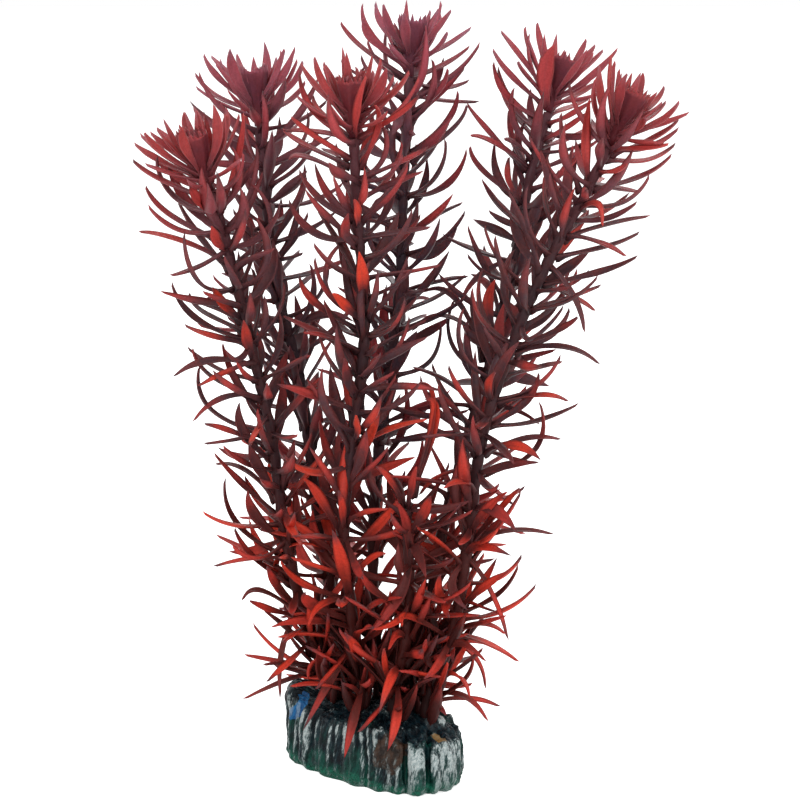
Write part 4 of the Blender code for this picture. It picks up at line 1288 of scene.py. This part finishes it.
class Graph:
    """Short words for building a node material."""

    def __init__(self, name):
        self.material = bpy.data.materials.new(name)
        self.material.use_nodes = True
        self.tree = self.material.node_tree
        self.shader = self.tree.nodes["Principled BSDF"]

    def node(self, kind):
        return self.tree.nodes.new("ShaderNode" + kind)

    def feed(self, socket, value):
        if isinstance(value, bpy.types.NodeSocket):
            self.tree.links.new(value, socket)
        elif hasattr(value, "__len__") and len(value) == 3 and socket.type == "RGBA":
            socket.default_value = (*value, 1.0)
        else:
            socket.default_value = value

    def vector(self, title):
        """The three values of one of the mesh's attributes."""
        node = self.node("Attribute")
        node.attribute_name = title
        split = self.node("SeparateXYZ")
        self.feed(split.inputs[0], node.outputs["Vector"])
        return split.outputs

    def noise(self, scale, detail, roughness=0.55, stretch=1.0, lean=0.0, shift=(0, 0, 0)):
        """Noise that may be drawn out upwards and leaned to the side."""
        mapped = self.node("Mapping")
        mapped.vector_type = "TEXTURE"
        self.feed(mapped.inputs["Vector"], self.node("TexCoord").outputs["Object"])
        self.feed(mapped.inputs["Scale"], (1.0, 1.0, stretch))
        self.feed(mapped.inputs["Rotation"], (0.0, lean, 0.0))
        self.feed(mapped.inputs["Location"], shift)
        node = self.node("TexNoise")
        self.feed(node.inputs["Vector"], mapped.outputs["Vector"])
        self.feed(node.inputs["Scale"], scale)
        self.feed(node.inputs["Detail"], detail)
        self.feed(node.inputs["Roughness"], roughness)
        return node.outputs["Fac"]

    def math(self, operation, a, b=0.0):
        node = self.node("Math")
        node.operation = operation
        self.feed(node.inputs[0], a)
        self.feed(node.inputs[1], b)
        return node.outputs[0]

    def times(self, a, b):
        return self.math("MULTIPLY", a, b)

    def plus(self, a, b):
        return self.math("ADD", a, b)

    def stirred(self, value, by, amount):
        """A value moved up and down by a noise that runs from 0 to 1."""
        return self.plus(value, self.times(self.math("SUBTRACT", by, 0.5), amount))

    def ramp(self, value, low, high, to_low=0.0, to_high=1.0):
        node = self.node("MapRange")
        node.interpolation_type = "SMOOTHSTEP"
        titles = ("Value", "From Min", "From Max", "To Min", "To Max")
        for title, fed in zip(titles, (value, low, high, to_low, to_high)):
            self.feed(node.inputs[title], fed)
        return node.outputs[0]

    def blend(self, share, a, b, kind="MIX"):
        node = self.node("Mix")
        node.data_type = "RGBA"
        node.blend_type = kind
        for index, fed in zip(MIX_INPUTS, (share, a, b)):
            self.feed(node.inputs[index], fed)
        return node.outputs[MIX_OUTPUT]

    def bump(self, height, strength, distance):
        node = self.node("Bump")
        self.feed(node.inputs["Strength"], strength)
        self.feed(node.inputs["Distance"], distance)
        self.feed(node.inputs["Height"], height)
        self.feed(self.shader.inputs["Normal"], node.outputs["Normal"])

    def surface(self, **values):
        """Feeds the shader's inputs, named as it names them with _ for a space."""
        for title, value in values.items():
            self.feed(self.shader.inputs[title.replace("_", " ")], value)


def leaf_material(name, look):
    """Moulded plastic that runs from a dark root over red to a dark tip, leaf by leaf, with painted shade at
    the roots, painted light and shade along the edges and a painted purple sheen.
    """
    g = Graph(name)

    def toward(share, colour, title):
        """A colour on its way to one of the look's, if the look has it."""
        return g.blend(share, colour, look[title]) if title in look else colour

    along, across, age = g.vector("blade")
    # The second tint value is how much painted sheen of the white surround a leaf takes, as a purple cast
    red, purple, chance = g.vector("tint")
    youth = g.math("MAXIMUM", age, 0.0)
    old = g.math("MAXIMUM", g.times(age, -1.0), 0.0)
    beside = g.math("ABSOLUTE", across)
    clouds = g.noise(*CLOUDS)
    specks = g.noise(*SPECKS, shift=SPECK_SHIFT)
    place = g.stirred(along, clouds, WOBBLE)
    start = g.math("SUBTRACT", g.ramp(red, 0.0, 1.0, *look["start"]), g.times(youth, look["young_start"]))
    reach = g.ramp(place, start, g.plus(start, look["run"]))
    amount = g.times(reach, g.ramp(red, *LEAST_RED, look["least"], 1.0))
    dark = toward(purple, look["dark"], "dark_purple")
    dark = toward(g.ramp(clouds, *WARM_CLOUDS), dark, "dark_warm")
    dark = toward(old, dark, "dark_old")
    # Darker towards the bottom, for the sheath leaves and the cores near the foot
    dark = toward(g.ramp(old, *FOOT_AGE), dark, "dark_foot")
    dark = toward(youth, dark, "dark_young")
    bright = toward(chance, look["deep"], "vivid")
    bright = toward(g.ramp(red, *HOT_RED), bright, "hot")
    bright = toward(purple, bright, "crimson")
    bright = toward(g.times(old, OLD_BRIGHT), bright, "bright_old")
    bright = toward(g.times(youth, YOUNG_BRIGHT), bright, "young")
    colour = g.blend(amount, dark, bright)
    colour = toward(g.times(g.ramp(place, *TIP_RUN), g.ramp(chance, *TIP_CHANCE)), colour, "tip")
    # Painted light and shade along the edges: a lighter edge on dull blades and on the crowns, a darker edge
    # on red blades
    edge = g.ramp(beside, look["edge_from"], 1.0, 0.0, look["edge"])
    colour = g.blend(edge, colour, toward(old, look["pale"], "pale_old"))
    colour = g.blend(g.ramp(beside, *RIB), colour, dark)
    # Painted shade at the foot of each blade and on the stems' cores, partly the plastic's darker clasp; the
    # specks are random tone
    shade = g.times(g.ramp(specks, *SPECK_SHADE), g.ramp(along, 0.0, ROOT_SHADE_RUN, look["root"], 1.0))
    colour = g.blend(1.0, colour, shade, "MULTIPLY")
    # Painted sheen: the purple cast lifts green and blue, as a reflection of the white surround would
    colour = g.blend(purple, colour, look["cast"], "MULTIPLY")
    g.surface(
        Base_Color=colour, Roughness=g.ramp(clouds, *ROUGH_CLOUDS, *look["rough"]),
        Specular_IOR_Level=look["gloss"], Subsurface_Weight=look["soft"], Subsurface_Radius=BLEED,
        Subsurface_Scale=BLEED_SCALE)
    veins = g.times(g.math("SINE", g.times(across, VEINS)), VEIN_HEIGHT)
    g.bump(g.plus(veins, g.times(specks, SPECK_HEIGHT)), *LEAF_BUMP)
    return g.material


def rock_material():
    """Black and green paint in the grooves, silver brushed over the crests, green at the foot."""
    g = Graph("painted_resin")

    def tones(title, by):
        """One paint's two tones, blended by a noise."""
        limits, darker, lighter = ROCK_PAINT[title]
        return g.blend(g.ramp(by, *limits), darker, lighter)

    crest, level = g.vector("paint")[:2]
    boulder, blue, ochre = g.vector("patches")
    broad, brush, scratch, fine, grit = (g.noise(*PAINT_NOISE[title]) for title in PAINT_NOISE)
    foot = g.stirred(level, broad, FOOT_STIR)
    lip = g.stirred(level, broad, LIP_STIR)
    colour = g.blend(g.ramp(foot, *FOOT_RANGE), tones("green", brush), tones("navy", brush))
    colour = g.blend(g.ramp(lip, *MOSS_RANGE), colour, tones("moss", fine))
    stone = tones("stone", grit)
    colour = g.blend(g.ramp(g.stirred(boulder, brush, EDGE_STIR), *STONE_RANGE), colour, stone)
    colour = g.blend(g.ramp(g.stirred(blue, brush, EDGE_STIR), *SKY_RANGE), colour, tones("sky", brush))
    stroke = g.stirred(g.stirred(crest, brush, STROKE_STIR), scratch, STROKE_STIR)
    clear = g.times(g.ramp(lip, *CLEAR_LIP), g.ramp(g.math("MAXIMUM", boulder, blue), *CLEAR_PATCH))
    wash = g.times(g.ramp(stroke, *WASH_RANGE), g.times(clear, WASH_SHARE))
    colour = g.blend(wash, colour, WASH)
    colour = g.blend(g.times(g.ramp(stroke, *METAL_RANGE), clear), colour, tones("metal", fine))
    colour = g.blend(g.ramp(g.stirred(ochre, brush, EDGE_STIR), *OCHRE_RANGE), colour, OCHRE)
    g.surface(Base_Color=colour, Roughness=g.ramp(fine, *ROCK_ROUGH), Specular_IOR_Level=ROCK_GLOSS)
    g.bump(g.plus(fine, scratch), *ROCK_BUMP)
    return g.material


def floor_material():
    g = Graph("pale_floor")
    seen = g.node("LightPath").outputs["Is Camera Ray"]
    g.surface(
        Base_Color=g.blend(g.noise(*FLOOR_CLOUDS), *FLOOR_TONES), Roughness=FLOOR_ROUGH,
        Specular_IOR_Level=FLOOR_GLOSS, Emission_Color=WHITE, Emission_Strength=g.times(seen, FLOOR_GLOW))
    return g.material


def place_aimed(name, data, place):
    """A camera or a lamp at a place, turned to the middle of the object."""
    placed = bpy.data.objects.new(name, data)
    placed.location = place
    placed.rotation_euler = (AIM - Vector(place)).to_track_quat("-Z", "Y").to_euler()
    bpy.context.scene.collection.objects.link(placed)
    return placed


def make_camera():
    data = bpy.data.cameras.new("camera")
    data.lens = FOCAL
    data.clip_start = CLIP_START
    data.clip_end = CLIP_END
    bpy.context.scene.camera = place_aimed("camera", data, CAMERA)


def make_studio():
    """A pale round floor, soft boxes and an even white surround."""
    corners = [(FLOOR_RADIUS * math.cos(a), FLOOR_RADIUS * math.sin(a), 0.0)
               for a in np.linspace(0, 2 * math.pi, FLOOR_CORNERS, endpoint=False)]
    mesh = bpy.data.meshes.new("floor")
    mesh.from_pydata(corners, [], [tuple(range(len(corners)))])
    mesh.materials.append(floor_material())
    floor = bpy.data.objects.new("floor", mesh)
    bpy.context.scene.collection.objects.link(floor)
    for name, place, size, power in SOFTBOXES:
        data = bpy.data.lights.new(name, "AREA")
        data.shape = "SQUARE"
        data.size = size
        data.energy = power
        place_aimed(name, data, place)
    world = bpy.data.worlds.new("surround")
    world.use_nodes = True
    background = world.node_tree.nodes["Background"]
    background.inputs["Color"].default_value = (*WHITE, 1.0)
    seen = world.node_tree.nodes.new("ShaderNodeLightPath")
    strength = world.node_tree.nodes.new("ShaderNodeMapRange")
    strength.inputs["To Min"].default_value = WORLD_LIGHT
    strength.inputs["To Max"].default_value = BACKDROP_LIGHT
    world.node_tree.links.new(seen.outputs["Is Camera Ray"], strength.inputs["Value"])
    world.node_tree.links.new(strength.outputs[0], background.inputs["Strength"])
    bpy.context.scene.world = world
    bpy.context.scene.view_settings.view_transform = "Standard"


def main():
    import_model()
    make_camera()
    make_studio()
    make_rock(rock_material())
    routes = {name: Route(points) for name, points in ROUTES.items()}
    stem_plastic = leaf_material("dark_red_plastic", STEM_LOOK)
    crown_plastic = leaf_material("crimson_plastic", CROWN_LOOK)
    for name, route in routes.items():
        make_foliage(name, route, routes, stem_plastic)
        if name in TRACED_CROWN_LEAVES:
            make_crown(name, route, crown_plastic)


main()
